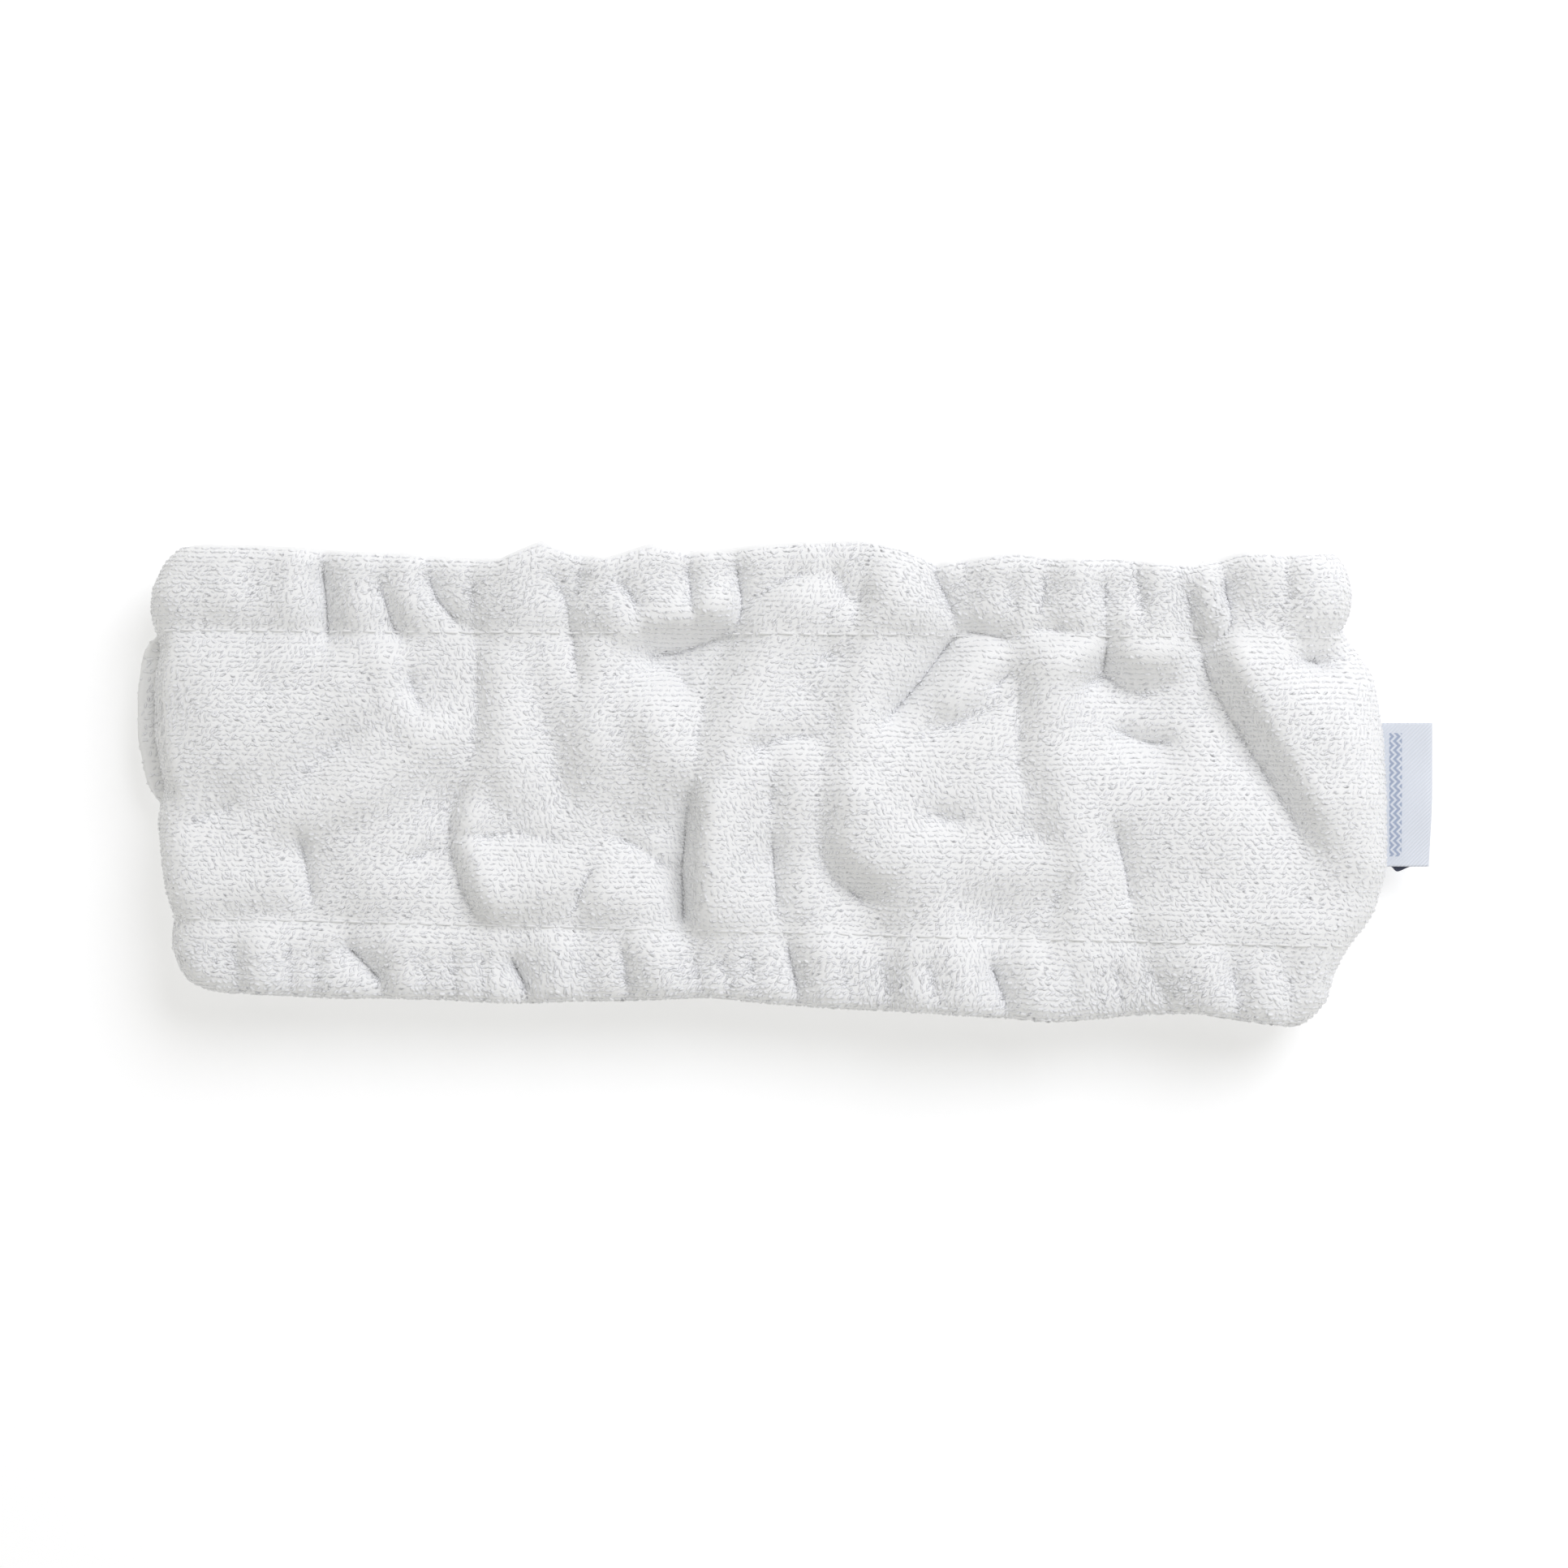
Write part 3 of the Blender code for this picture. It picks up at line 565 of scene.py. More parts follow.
def placed(heights, depths, stations):  # (x, y, z) and outward for heights x stations, with the gathers
    h = np.asarray(heights)[:, None] + np.zeros(len(stations))
    d = np.asarray(depths)[:, None] + np.zeros(len(stations))
    part = np.array([s[0] for s in stations])[None, :] + np.zeros(h.shape)
    share = np.array([s[1] for s in stations])[None, :] + np.zeros(h.shape)
    left = edgeAt(strip["leftEdge"], h) + cornerReach
    right = edgeAt(strip["rightEdge"], h) - cornerReach
    roughX = np.where(part == 1, right + (left - right) * share, 0.0)
    for stitch, deep, shows in zip((upperStitch, lowerStitch), strip["grooveDepth"], strip["stitchShows"]):
        shown = np.where(part == 1, np.interp(roughX, *zip(*shows)), 0.6)
        d = d + deep * shown * np.exp(-((abs(h - stitch) / strip["grooveReach"]) ** 1.5))
    radius = fullRadius - d
    opened = smooth((upperStitch - 3 - h) / 3) * smooth((h - lowerStitch - 2.5) / 3)
    gap = strip["slit"] + (strip["bodySlit"] - strip["slit"]) * opened
    slit = np.arcsin(np.clip(gap / radius, 0, 0.9))
    x, z, nx, nz = (np.zeros(h.shape) for _ in range(4))
    a = slit + (math.pi / 2 - slit) * share
    for which, angle in ((0, a), (4, -(slit + (math.pi / 2 - slit) * (1 - share)))):
        here = part == which
        x[here] = (right + radius * np.cos(angle))[here]
        z[here] = (radius * np.sin(angle))[here]
        nx[here] = np.cos(angle)[here]
        nz[here] = np.sin(angle)[here]
    for which, side in ((1, 1), (3, -1)):
        here = part == which
        travel = share if side > 0 else 1 - share
        x[here] = (right + (left - right) * travel)[here]
        z[here] = (side * radius)[here]
        nz[here] = side
    turn = math.pi * share
    bulge = np.where(turn < math.pi / 2, np.sin(turn) ** strip["foldCorner"], np.sin(turn))
    lobes, lifted = foldLobes(np.degrees(turn), h)
    here = part == 2
    x[here] = (left - radius * bulge + lobes)[here]
    z[here] = (radius * np.cos(turn) + lifted)[here]
    nx[here] = -np.sin(turn)[here]
    nz[here] = np.cos(turn)[here]
    upperShare = smooth((h - upperStitch) / (upperFold - upperStitch))
    lowerShare = smooth((lowerStitch - h) / (lowerStitch - lowerFold))
    topEdge, bottomEdge = np.array(gathers["topEdge"]), np.array(gathers["bottomEdge"])
    y = tilted(x, h) + upperShare * np.interp(x, topEdge[:, 0], topEdge[:, 1])
    y = y + lowerShare * np.interp(x, bottomEdge[:, 0], bottomEdge[:, 1]) * 0.6
    rise = np.where(nz > 0, sampled(frontRise, x, y), sampled(backRise, x, y)) * smooth(abs(nz))
    return np.stack([x + nx * rise, y, midZ + z + nz * rise], -1), np.stack([nx, 0 * nx, nz], -1)


def gridNormals(points):
    du = np.gradient(points, axis=1)
    dv = np.gradient(points, axis=0)
    n = np.cross(du, dv)
    return n / np.maximum(np.linalg.norm(n, axis=-1, keepdims=True), 1e-9)


stations = loopStations()
rowHeights, rowDepths, rowAlong = stripRows()
stripPoints, _ = placed(rowHeights, rowDepths, stations)
stripNormals = gridNormals(stripPoints)
steps = np.linalg.norm(stripPoints[:, 1:] - stripPoints[:, :-1], axis=-1)
stripAlong = np.concatenate([np.zeros((len(rowHeights), 1)), np.cumsum(steps, axis=1)], axis=1)
print("strip surface", stripPoints.shape)


def meshObject(name, verts, faces, uvs=None, uvName="cloth"):
    mesh = bpy.data.meshes.new(name)
    mesh.from_pydata((np.asarray(verts) * mm).tolist(), [], faces)
    mesh.update()
    if uvs is not None:
        layer = mesh.uv_layers.new(name=uvName)
        corners = np.empty(len(mesh.loops), np.int32)
        mesh.loops.foreach_get("vertex_index", corners)
        layer.data.foreach_set("uv", (np.asarray(uvs)[corners] * mm).astype(np.float32).ravel())
    mesh.polygons.foreach_set("use_smooth", np.ones(len(mesh.polygons), bool))
    piece = bpy.data.objects.new(name, mesh)
    bpy.context.scene.collection.objects.link(piece)
    return piece


def gridFaces(rows, columns):
    starts = [i * columns + j for i in range(rows - 1) for j in range(columns - 1)]
    return [(a, a + 1, a + columns + 1, a + columns) for a in starts]


def plainMesh(piece):  # the evaluated mesh in place of the piece's own, with no modifier left
    graph = bpy.context.evaluated_depsgraph_get()
    made = bpy.data.meshes.new_from_object(piece.evaluated_get(graph), depsgraph=graph)
    old = piece.data
    piece.modifiers.clear()
    piece.data = made
    made.name = piece.name
    bpy.data.meshes.remove(old)


def thickened(piece, thickness):
    wall = piece.modifiers.new("wall", "SOLIDIFY")
    wall.thickness = thickness * mm
    wall.offset = 0.0
    plainMesh(piece)


def makeTowelling():
    rows, columns = stripPoints.shape[:2]
    verts = list(stripPoints.reshape(-1, 3))
    uvs = list(np.stack([stripAlong, rowAlong[:, None] + 0 * stripAlong], -1).reshape(-1, 2))
    faces = gridFaces(rows, columns)
    deepest = strip["turnInDepth"] * 0.2
    inBody = (rowHeights < upperStitch - 5) & (rowHeights > lowerStitch + 4) & (rowDepths < deepest)
    bodyRows = np.nonzero(inBody)[0]
    for side, column in ((1, 0), (-1, columns - 1)):  # the ends turned in at the seam
        first = len(verts)
        widthwise = np.linspace(0, strip["allowance"], 10)[1:]
        for i in bodyRows:
            edge = stripPoints[i, column]
            for k, w in enumerate(widthwise):
                z = midZ + side * (1.2 + 0.6 * smooth(w / 3))
                verts.append(np.array([edge[0] - w, edge[1], z]))
                uvs.append(uvs[i * columns + column] + np.array([-side * w, 0.0]))
        across = len(widthwise)
        for n, i in enumerate(bodyRows[:-1]):
            left = [i * columns + column] + [first + n * across + k for k in range(across)]
            right = [(i + 1) * columns + column] + [first + (n + 1) * across + k for k in range(across)]
            for k in range(across):
                quad = (left[k + 1], left[k], right[k], right[k + 1])
                faces.append(quad if side > 0 else quad[::-1])
    piece = meshObject("towelling", verts, faces, np.array(uvs), "cloth")
    thickened(piece, strip["thickness"])
    return piece


towelling = makeTowelling()
print("towelling strip", len(towelling.data.polygons), "faces")


# threads and loops: one tree lays a small arch of yarn on every point

def mathStep(tree, kind, *values):  # a Math node whose inputs are numbers or sockets
    made = tree.nodes.new("ShaderNodeMath")
    made.operation = kind
    for socket, value in zip(made.inputs, values):
        if isinstance(value, (int, float)):
            socket.default_value = value
        else:
            tree.links.new(value, socket)
    return made.outputs[0]


def archTree():
    tree = bpy.data.node_groups.new("yarnArches", "GeometryNodeTree")
    sockets = tree.interface.new_socket
    sockets("Geometry", in_out="INPUT", socket_type="NodeSocketGeometry")
    sizes = {"Width": 0.001, "Height": 0.001, "Yarn": 0.0002, "Lean": 0.3, "Twist": 0.3, "Uneven": 0.2}
    for name, value in sizes.items():
        sockets(name, in_out="INPUT", socket_type="NodeSocketFloat").default_value = value
    for name, value in {"Points": 5, "Sides": 3, "Seed": 1}.items():
        sockets(name, in_out="INPUT", socket_type="NodeSocketInt").default_value = value
    sockets("Material", in_out="INPUT", socket_type="NodeSocketMaterial")
    sockets("Geometry", in_out="OUTPUT", socket_type="NodeSocketGeometry")
    node, link = tree.nodes.new, tree.links.new
    given = node("NodeGroupInput")

    def named(attribute, kind):
        read = node("GeometryNodeInputNamedAttribute")
        read.data_type = kind
        read.inputs["Name"].default_value = attribute
        return read.outputs["Attribute"]

    def step(kind, *values):
        return mathStep(tree, kind, *values)

    def uneven(spread, shift):  # a number between minus and plus the spread, one for each arch
        draw = node("FunctionNodeRandomValue")
        draw.data_type = "FLOAT"
        link(step("MULTIPLY", spread, -1.0), draw.inputs[2])
        link(spread, draw.inputs[3])
        link(step("ADD", given.outputs["Seed"], shift), draw.inputs["Seed"])
        return draw.outputs[1]

    arc = node("GeometryNodeCurveArc")
    arc.inputs["Radius"].default_value = 1.0
    arc.inputs["Start Angle"].default_value = 0.0
    arc.inputs["Sweep Angle"].default_value = math.pi
    link(given.outputs["Points"], arc.inputs["Resolution"])
    size = node("ShaderNodeCombineXYZ")
    link(step("MULTIPLY", given.outputs["Width"], 0.5), size.inputs[0])
    link(given.outputs["Height"], size.inputs[1])
    size.inputs[2].default_value = 1.0
    stood = node("GeometryNodeTransform")
    link(arc.outputs["Curve"], stood.inputs["Geometry"])
    link(size.outputs[0], stood.inputs["Scale"])
    stood.inputs["Rotation"].default_value = (math.pi / 2, 0.0, 0.0)
    ring = node("GeometryNodeCurvePrimitiveCircle")
    link(given.outputs["Sides"], ring.inputs["Resolution"])
    link(given.outputs["Yarn"], ring.inputs["Radius"])
    yarn = node("GeometryNodeCurveToMesh")
    yarn.inputs["Fill Caps"].default_value = True
    link(stood.outputs["Geometry"], yarn.inputs["Curve"])
    link(ring.outputs["Curve"], yarn.inputs["Profile Curve"])
    axes = node("FunctionNodeAxesToRotation")
    axes.primary_axis = "Z"
    axes.secondary_axis = "X"
    link(named("outward", "FLOAT_VECTOR"), axes.inputs["Primary Axis"])
    link(named("along", "FLOAT_VECTOR"), axes.inputs["Secondary Axis"])
    turns = node("ShaderNodeCombineXYZ")
    link(uneven(given.outputs["Lean"], 1), turns.inputs[0])
    link(uneven(step("MULTIPLY", given.outputs["Lean"], 0.5), 4), turns.inputs[1])
    link(uneven(given.outputs["Twist"], 2), turns.inputs[2])
    tilt = node("FunctionNodeEulerToRotation")
    link(turns.outputs[0], tilt.inputs[0])
    turned = node("FunctionNodeRotateRotation")
    turned.rotation_space = "LOCAL"
    link(axes.outputs[0], turned.inputs[0])
    link(tilt.outputs[0], turned.inputs[1])
    scale = step("MULTIPLY", named("size", "FLOAT"), step("ADD", 1.0, uneven(given.outputs["Uneven"], 3)))
    laid = node("GeometryNodeInstanceOnPoints")
    link(given.outputs["Geometry"], laid.inputs["Points"])
    link(yarn.outputs["Mesh"], laid.inputs["Instance"])
    link(turned.outputs[0], laid.inputs["Rotation"])
    link(scale, laid.inputs["Scale"])
    real = node("GeometryNodeRealizeInstances")
    link(laid.outputs["Instances"], real.inputs["Geometry"])
    smoothed = node("GeometryNodeSetShadeSmooth")
    link(real.outputs["Geometry"], smoothed.inputs["Geometry"])
    coated = node("GeometryNodeSetMaterial")
    link(smoothed.outputs["Geometry"], coated.inputs["Geometry"])
    link(given.outputs["Material"], coated.inputs["Material"])
    link(coated.outputs["Geometry"], node("NodeGroupOutput").inputs["Geometry"])
    return tree


arches = archTree()


def laidArches(name, points, outward, along, size, made, material):
    mesh = bpy.data.meshes.new(name)
    mesh.from_pydata((np.asarray(points) * mm).tolist(), [], [])
    for attribute, kind, field, values in (
        ("outward", "FLOAT_VECTOR", "vector", outward),
        ("along", "FLOAT_VECTOR", "vector", along),
        ("size", "FLOAT", "value", size),
    ):
        layer = mesh.attributes.new(attribute, kind, "POINT")
        layer.data.foreach_set(field, np.asarray(values, np.float32).ravel())
    piece = bpy.data.objects.new(name, mesh)
    bpy.context.scene.collection.objects.link(piece)
    lay = piece.modifiers.new("arches", "NODES")
    lay.node_group = arches
    values = {**made, "Material": material}
    for item in arches.interface.items_tree:
        if item.in_out == "INPUT" and item.name in values:
            lay[item.identifier] = values[item.name]
    plainMesh(piece)
    return piece


# finishes

def nodesOf(name, colour, roughness):
    coat = bpy.data.materials.new(name)
    coat.use_nodes = True
    shader = coat.node_tree.nodes["Principled BSDF"]
    shader.inputs["Base Color"].default_value = (*colour, 1.0)
    shader.inputs["Roughness"].default_value = roughness
    return coat, coat.node_tree.nodes.new, coat.node_tree.links.new, shader


finish = {
    "cloth": (0.925, 0.926, 0.924),
    "clothDeep": (0.905, 0.902, 0.892),
    "pile": (0.928, 0.933, 0.945),
    "elastic": (0.78, 0.775, 0.75),
    "thread": (0.86, 0.86, 0.85),
}


def towellingFinish():  # the ground weave between the loops: rows of knots, with a little unevenness
    coat, node, link, shader = nodesOf("towelling", finish["cloth"], 0.95)
    shader.inputs["Sheen Weight"].default_value = 0.25
    shader.inputs["Sheen Roughness"].default_value = 0.6
    uv = node("ShaderNodeUVMap")
    uv.uv_map = "cloth"
    cloud = node("ShaderNodeTexNoise")
    cloud.inputs["Scale"].default_value = 180.0
    cloud.inputs["Detail"].default_value = 3.0
    link(uv.outputs["UV"], cloud.inputs["Vector"])
    mix = node("ShaderNodeMix")
    mix.data_type = "RGBA"
    mix.inputs[6].default_value = (*finish["cloth"], 1.0)
    mix.inputs[7].default_value = (*finish["clothDeep"], 1.0)
    link(cloud.outputs["Fac"], mix.inputs["Factor"])
    link(mix.outputs[2], shader.inputs["Base Color"])
    knots = node("ShaderNodeTexVoronoi")
    knots.inputs["Scale"].default_value = 1150.0
    knots.inputs["Randomness"].default_value = 0.55
    link(uv.outputs["UV"], knots.inputs["Vector"])
    bump = node("ShaderNodeBump")
    bump.inputs["Strength"].default_value = 0.3
    bump.inputs["Distance"].default_value = 0.0003
    bump.invert = True
    link(knots.outputs["Distance"], bump.inputs["Height"])
    link(bump.outputs["Normal"], shader.inputs["Normal"])
    return coat


def yarnFinish(name, colour, sheen):
    coat, _, _, shader = nodesOf(name, colour, 0.9)
    shader.inputs["Sheen Weight"].default_value = sheen
    shader.inputs["Sheen Roughness"].default_value = 0.5
    shader.inputs["Specular IOR Level"].default_value = 0.3
    shader.inputs["Subsurface Weight"].default_value = 0.7  # cotton lets light through
    shader.inputs["Subsurface Radius"].default_value = (1.0, 1.0, 0.95)
    shader.inputs["Subsurface Scale"].default_value = 0.0006
    return coat


towellingCoat = towellingFinish()
pileCoat = yarnFinish("pile yarn", finish["pile"], 0.15)
threadCoat = yarnFinish("sewing thread", finish["thread"], 0.1)
towelling.data.materials.append(towellingCoat)


# the pile: rows of loops along the cloth, each row walked at an even spacing

pile = {
    "rowPitch": 0.82,
    "spacing": 0.82,
    "backPitch": 1.25,
    "backSpacing": 1.15,
    "turnedInPitch": 2.2,
    "turnedInSpacing": 2.0,
    "pitchVaries": (0.94, 1.06),
    "edgeMargin": 0.6,  # from the raw edge to the first row
    "roundFold": 0.62,  # the close loops go this share of the way round the left fold
    "sunk": 0.2,  # how deep the loops' feet are in the cloth
    "jitter": 0.12,
    "backSize": 1.15,
    "loop": {
        "Width": 0.00076, "Height": 0.0002, "Yarn": 0.00024, "Points": 4, "Sides": 4,
        "Lean": 0.25, "Twist": 0.9, "Uneven": 0.14,
    },
    "flow": 0.75,  # how far the lie of the loops wanders, in radians
    "perPiece": 7000,
    "lowerHemLength": 1.12,
    "stitchLength": 0.8,
}


def between(grid, row):  # the strip's grid on a line between two of its rows
    i = min(int(row), len(grid) - 2)
    return grid[i] * (1 - (row - i)) + grid[i + 1] * (row - i)


def onLine(line, out, far, stops):  # points on a line, and which way is out and along there
    return [columnsAt(stops, far, field) for field in (line, out, np.gradient(line, axis=0))]


def loopsAlong(rowStop, low, high, spacing, draw):  # one row of loops, between two columns
    row = np.interp(rowStop, rowAlong, np.arange(len(rowAlong)))
    line, out = between(stripPoints, row)[low:high], between(stripNormals, row)[low:high]
    far = lengthAlong(line)
    stops = np.arange(draw.uniform(0, spacing), far[-1], spacing)
    stops = np.clip(stops + draw.normal(0, spacing * 0.16, len(stops)), 0, far[-1])
    return onLine(line, out, far, stops)


def makePile():
    draw = np.random.default_rng(41)
    counts = strip["columns"]
    frontEnd = counts["corner"] + counts["front"] + int(counts["fold"] * pile["roundFold"])
    last = stripPoints.shape[1]
    isTurnedIn = rowDepths > strip["turnInDepth"] * 0.5
    rooted = strip["thickness"] / 2 - pile["sunk"]
    gathered = {"Front": [], "Back": [], "Inside": []}
    stop = pile["edgeMargin"]
    while stop < rowAlong[-1] - 0.5:
        height = np.interp(stop, rowAlong, rowHeights)
        if np.interp(stop, rowAlong, isTurnedIn) > 0.5:
            name, pitch = "Inside", pile["turnedInPitch"]
            points, outward, along = loopsAlong(stop, 0, last, pile["turnedInSpacing"], draw)
            size = np.ones(len(points))
        else:
            name, pitch = "Front", pile["rowPitch"]
            points, outward, along = loopsAlong(stop, 0, frontEnd, pile["spacing"], draw)
            near = min(abs(height - upperStitch), abs(height - lowerStitch))
            flattened = 1 - (1 - pile["stitchLength"]) * math.exp(-((near / 1.3) ** 2))
            lengthened = 1 + (pile["lowerHemLength"] - 1) * smooth((lowerStitch - 2 - height) / 6)
            size = np.ones(len(points)) * flattened * lengthened
        gathered[name].append((points + outward * rooted, outward, along, size))
        stop += pitch * draw.uniform(*pile["pitchVaries"])
    stop = pile["edgeMargin"]
    while stop < rowAlong[-1] - 0.5:
        if np.interp(stop, rowAlong, isTurnedIn) <= 0.5:
            points, outward, along = loopsAlong(stop, frontEnd - 1, last, pile["backSpacing"], draw)
            size = np.full(len(points), pile["backSize"])
            gathered["Back"].append((points + outward * rooted, outward, along, size))
        stop += pile["backPitch"] * draw.uniform(*pile["pitchVaries"])
    pieces = []
    xs, ys = planAxes()
    lie = pile["flow"] * softNoise(57, 13, 16, (len(ys), len(xs)))
    for name, rows in gathered.items():
        points, outward, along, size = (np.concatenate([row[k] for row in rows]) for k in range(4))
        turn = sampled(lie, points[:, 0], points[:, 1])[:, None]
        along = along * np.cos(turn) + np.cross(outward, along) * np.sin(turn)
        points = points + draw.normal(0, pile["jitter"], points.shape) * (1 - 0.8 * abs(outward))
        count = math.ceil(len(points) / pile["perPiece"])
        for k, part in enumerate(np.array_split(np.arange(len(points)), count)):
            made = {**pile["loop"], "Seed": 11 + len(pieces)}
            laid = (points[part], outward[part], along[part], size[part])
            pieces.append(laidArches(f"pile{name}{k + 1}", *laid, made, pileCoat))
        print("pile", name.lower(), len(points), "loops in", count, "pieces")
    return pieces


pilePieces = makePile()


# elastic rings inside the casings

elastic = {"thickness": 1.1, "rows": 12, "ribHeight": 0.12, "depth": 2.15, "clearOfStitch": 1.6}


def elasticFinish():  # ribs across the braid and fine rubber lines along it
    coat, node, link, shader = nodesOf("braided elastic", finish["elastic"], 0.7)
    uv = node("ShaderNodeUVMap")
    uv.uv_map = "cloth"
    ribs = node("ShaderNodeTexWave")
    ribs.bands_direction = "Y"
    ribs.inputs["Scale"].default_value = 260.0
    ribs.inputs["Distortion"].default_value = 0.6
    link(uv.outputs["UV"], ribs.inputs["Vector"])
    shades = node("ShaderNodeValToRGB")
    shades.color_ramp.elements[0].color = (0.62, 0.61, 0.58, 1.0)
    shades.color_ramp.elements[1].color = (*finish["elastic"], 1.0)
    link(ribs.outputs["Fac"], shades.inputs["Fac"])
    link(shades.outputs["Color"], shader.inputs["Base Color"])
    bump = node("ShaderNodeBump")
    bump.inputs["Strength"].default_value = 0.8
    bump.inputs["Distance"].default_value = 0.0002
    link(ribs.outputs["Fac"], bump.inputs["Height"])
    link(bump.outputs["Normal"], shader.inputs["Normal"])
    return coat


def makeElastic(name, low, high):
    heights = np.linspace(high, low, elastic["rows"])
    ribs = elastic["ribHeight"] * (np.arange(elastic["rows"]) % 2)
    points, _ = placed(heights, np.full(len(heights), elastic["depth"]) + ribs, stations)
    rows, columns = points.shape[:2]
    far = np.cumsum(np.linalg.norm(np.diff(points, axis=1, prepend=points[:, :1]), axis=-1), axis=1)
    uvs = np.stack([far, heights[:, None] + 0 * far], -1).reshape(-1, 2)
    faces = gridFaces(rows, columns)
    starts = range(0, (rows - 1) * columns, columns)
    faces += [(a + columns - 1, a, a + columns, a + 2 * columns - 1) for a in starts]  # closes the ring
    piece = meshObject(name, points.reshape(-1, 3), faces, uvs)
    thickened(piece, elastic["thickness"])
    piece.data.materials.append(elasticCoat)
    return piece


elasticCoat = elasticFinish()
upperElastic = makeElastic("upperElastic", upperStitch + elastic["clearOfStitch"], upperElasticHigh[1])
lowerElasticLow = lowerFold + (upperFold - upperElasticHigh[1])
lowerElastic = makeElastic("lowerElastic", lowerElasticLow, lowerStitch - elastic["clearOfStitch"])
print("elastic rings made")


# seams: hem stitches, the overlock over each raw edge, and the side seam

sewing = {
    "hem": {
        "Width": 0.0027, "Height": 0.00042, "Yarn": 0.0002, "Points": 7, "Sides": 6,
        "Lean": 0.05, "Twist": 0.05, "Uneven": 0.03,
    },
    "hemPitch": 3.1,
    "overlockPitch": 2.1,
    "overlockBite": 2.0,
    "overlockThread": 0.16,
    "seamFromEdge": 4.0,  # the side seam's stitching, in from the band's end
    "seamHalfThick": 2.9,  # of both allowances together
    "seamBite": 2.4,
    "seamEnds": (6.5, 5.5),  # the seam stops this far short of the upper and lower stitching
}


def evenly(line, out, spacing):
    far = lengthAlong(line)
    return onLine(line, out, far, np.arange(spacing / 2, far[-1], spacing))


def makeHemStitches(name, stitch):
    parts = []
    for depth, side in ((0.7, 1), (3.0, -1)):
        points, normals = placed([stitch - 0.5, stitch, stitch + 0.5], [depth] * 3, stations)
        line, out = points[1], side * normals[1]
        at, up, along = evenly(line, out, sewing["hemPitch"])
        parts.append((at + up * (strip["thickness"] / 2 + 0.05), up, along))
    at, up, along = (np.concatenate([part[k] for part in parts]) for k in range(3))
    return laidArches(name, at, up, along, np.ones(len(at)), {**sewing["hem"], "Seed": 5}, threadCoat)


def tube(route, radius, sides=4):
    route = np.asarray(route)
    ahead = np.gradient(route, axis=0)
    ahead /= np.linalg.norm(ahead, axis=1, keepdims=True)
    aside = np.cross(ahead, np.array([0.13, 0.31, 0.94]))
    aside /= np.linalg.norm(aside, axis=1, keepdims=True)
    upward = np.cross(ahead, aside)
    verts = []
    for k in range(sides):
        a = 2 * math.pi * k / sides
        verts.append(route + radius * (math.cos(a) * aside + math.sin(a) * upward))
    verts = np.stack(verts, 1).reshape(-1, 3)
    faces = []
    for i in range(len(route) - 1):
        for k in range(sides):
            a, b = i * sides + k, i * sides + (k + 1) % sides
            faces.append((a, b, b + sides, a + sides))
    faces.append(tuple(range(sides))[::-1])
    end = (len(route) - 1) * sides
    faces.append(tuple(range(end, end + sides)))
    return verts, faces


def windOver(name, edge, inwards, outward, halfThick, bite):  # an overlock thread over a raw edge
    far = lengthAlong(edge)
    stops = np.arange(0, far[-1], sewing["overlockPitch"] / 6)
    at, inw, out = (columnsAt(stops, far, field) for field in (edge, inwards, outward))
    inw /= np.linalg.norm(inw, axis=1, keepdims=True)
    out /= np.linalg.norm(out, axis=1, keepdims=True)
    steps = [(-0.35, 0), (0.2, 1), (1.0, 1), (0.2, 1), (-0.35, 0), (0.5, -1)]  # bites inwards, and which side
    reach = np.array([steps[i % 6][0] for i in range(len(stops))])[:, None] * bite
    side = np.array([steps[i % 6][1] for i in range(len(stops))])[:, None] * (halfThick + 0.1)
    verts, faces = tube(at + inw * reach + out * side, sewing["overlockThread"])
    piece = meshObject(name, verts, faces)
    piece.data.materials.append(threadCoat)
    return piece


def makeOverlock(name, edgeRow, innerRow):
    edge, normals = stripPoints[edgeRow], stripNormals[edgeRow]
    inwards = stripPoints[innerRow] - edge
    return windOver(name, edge, inwards, normals, strip["thickness"] / 2, sewing["overlockBite"])


upperStitching = makeHemStitches("upperHemStitches", upperStitch)
lowerStitching = makeHemStitches("lowerHemStitches", lowerStitch)
upperOverlock = makeOverlock("upperHemOverlock", 0, 3)
lowerOverlock = makeOverlock("lowerHemOverlock", -1, -4)


def makeSideSeam():
    above, below = sewing["seamEnds"]
    heights = np.linspace(upperStitch - above, lowerStitch + below, 60)
    ends = edgeAt(strip["rightEdge"], heights) - cornerReach + fullRadius
    y = tilted(ends, heights)
    middle = np.full(len(y), midZ)
    edge = np.stack([ends - strip["allowance"], y, middle], -1)
    inward, up = np.tile([1.0, 0.0, 0.0], (60, 1)), np.tile([0.0, 0.0, 1.0], (60, 1))
    overlock = windOver("sideSeamOverlock", edge, inward, up, sewing["seamHalfThick"], sewing["seamBite"])
    line = np.stack([ends - sewing["seamFromEdge"], y, middle], -1)
    at, out, along = evenly(line, up, sewing["hemPitch"])
    aside = out * sewing["seamHalfThick"]
    both = np.concatenate([at + aside, at - aside])
    bothOut, bothAlong = np.concatenate([out, -out]), np.concatenate([along, along])
    made = {**sewing["hem"], "Seed": 6}
    stitches = laidArches("sideSeamStitches", both, bothOut, bothAlong, np.ones(len(both)), made, threadCoat)
    return overlock, stitches


sideOverlock, sideStitches = makeSideSeam()
print("seams sewn")


# the label: a satin ribbon folded into a loop, its ends sewn into the side seam

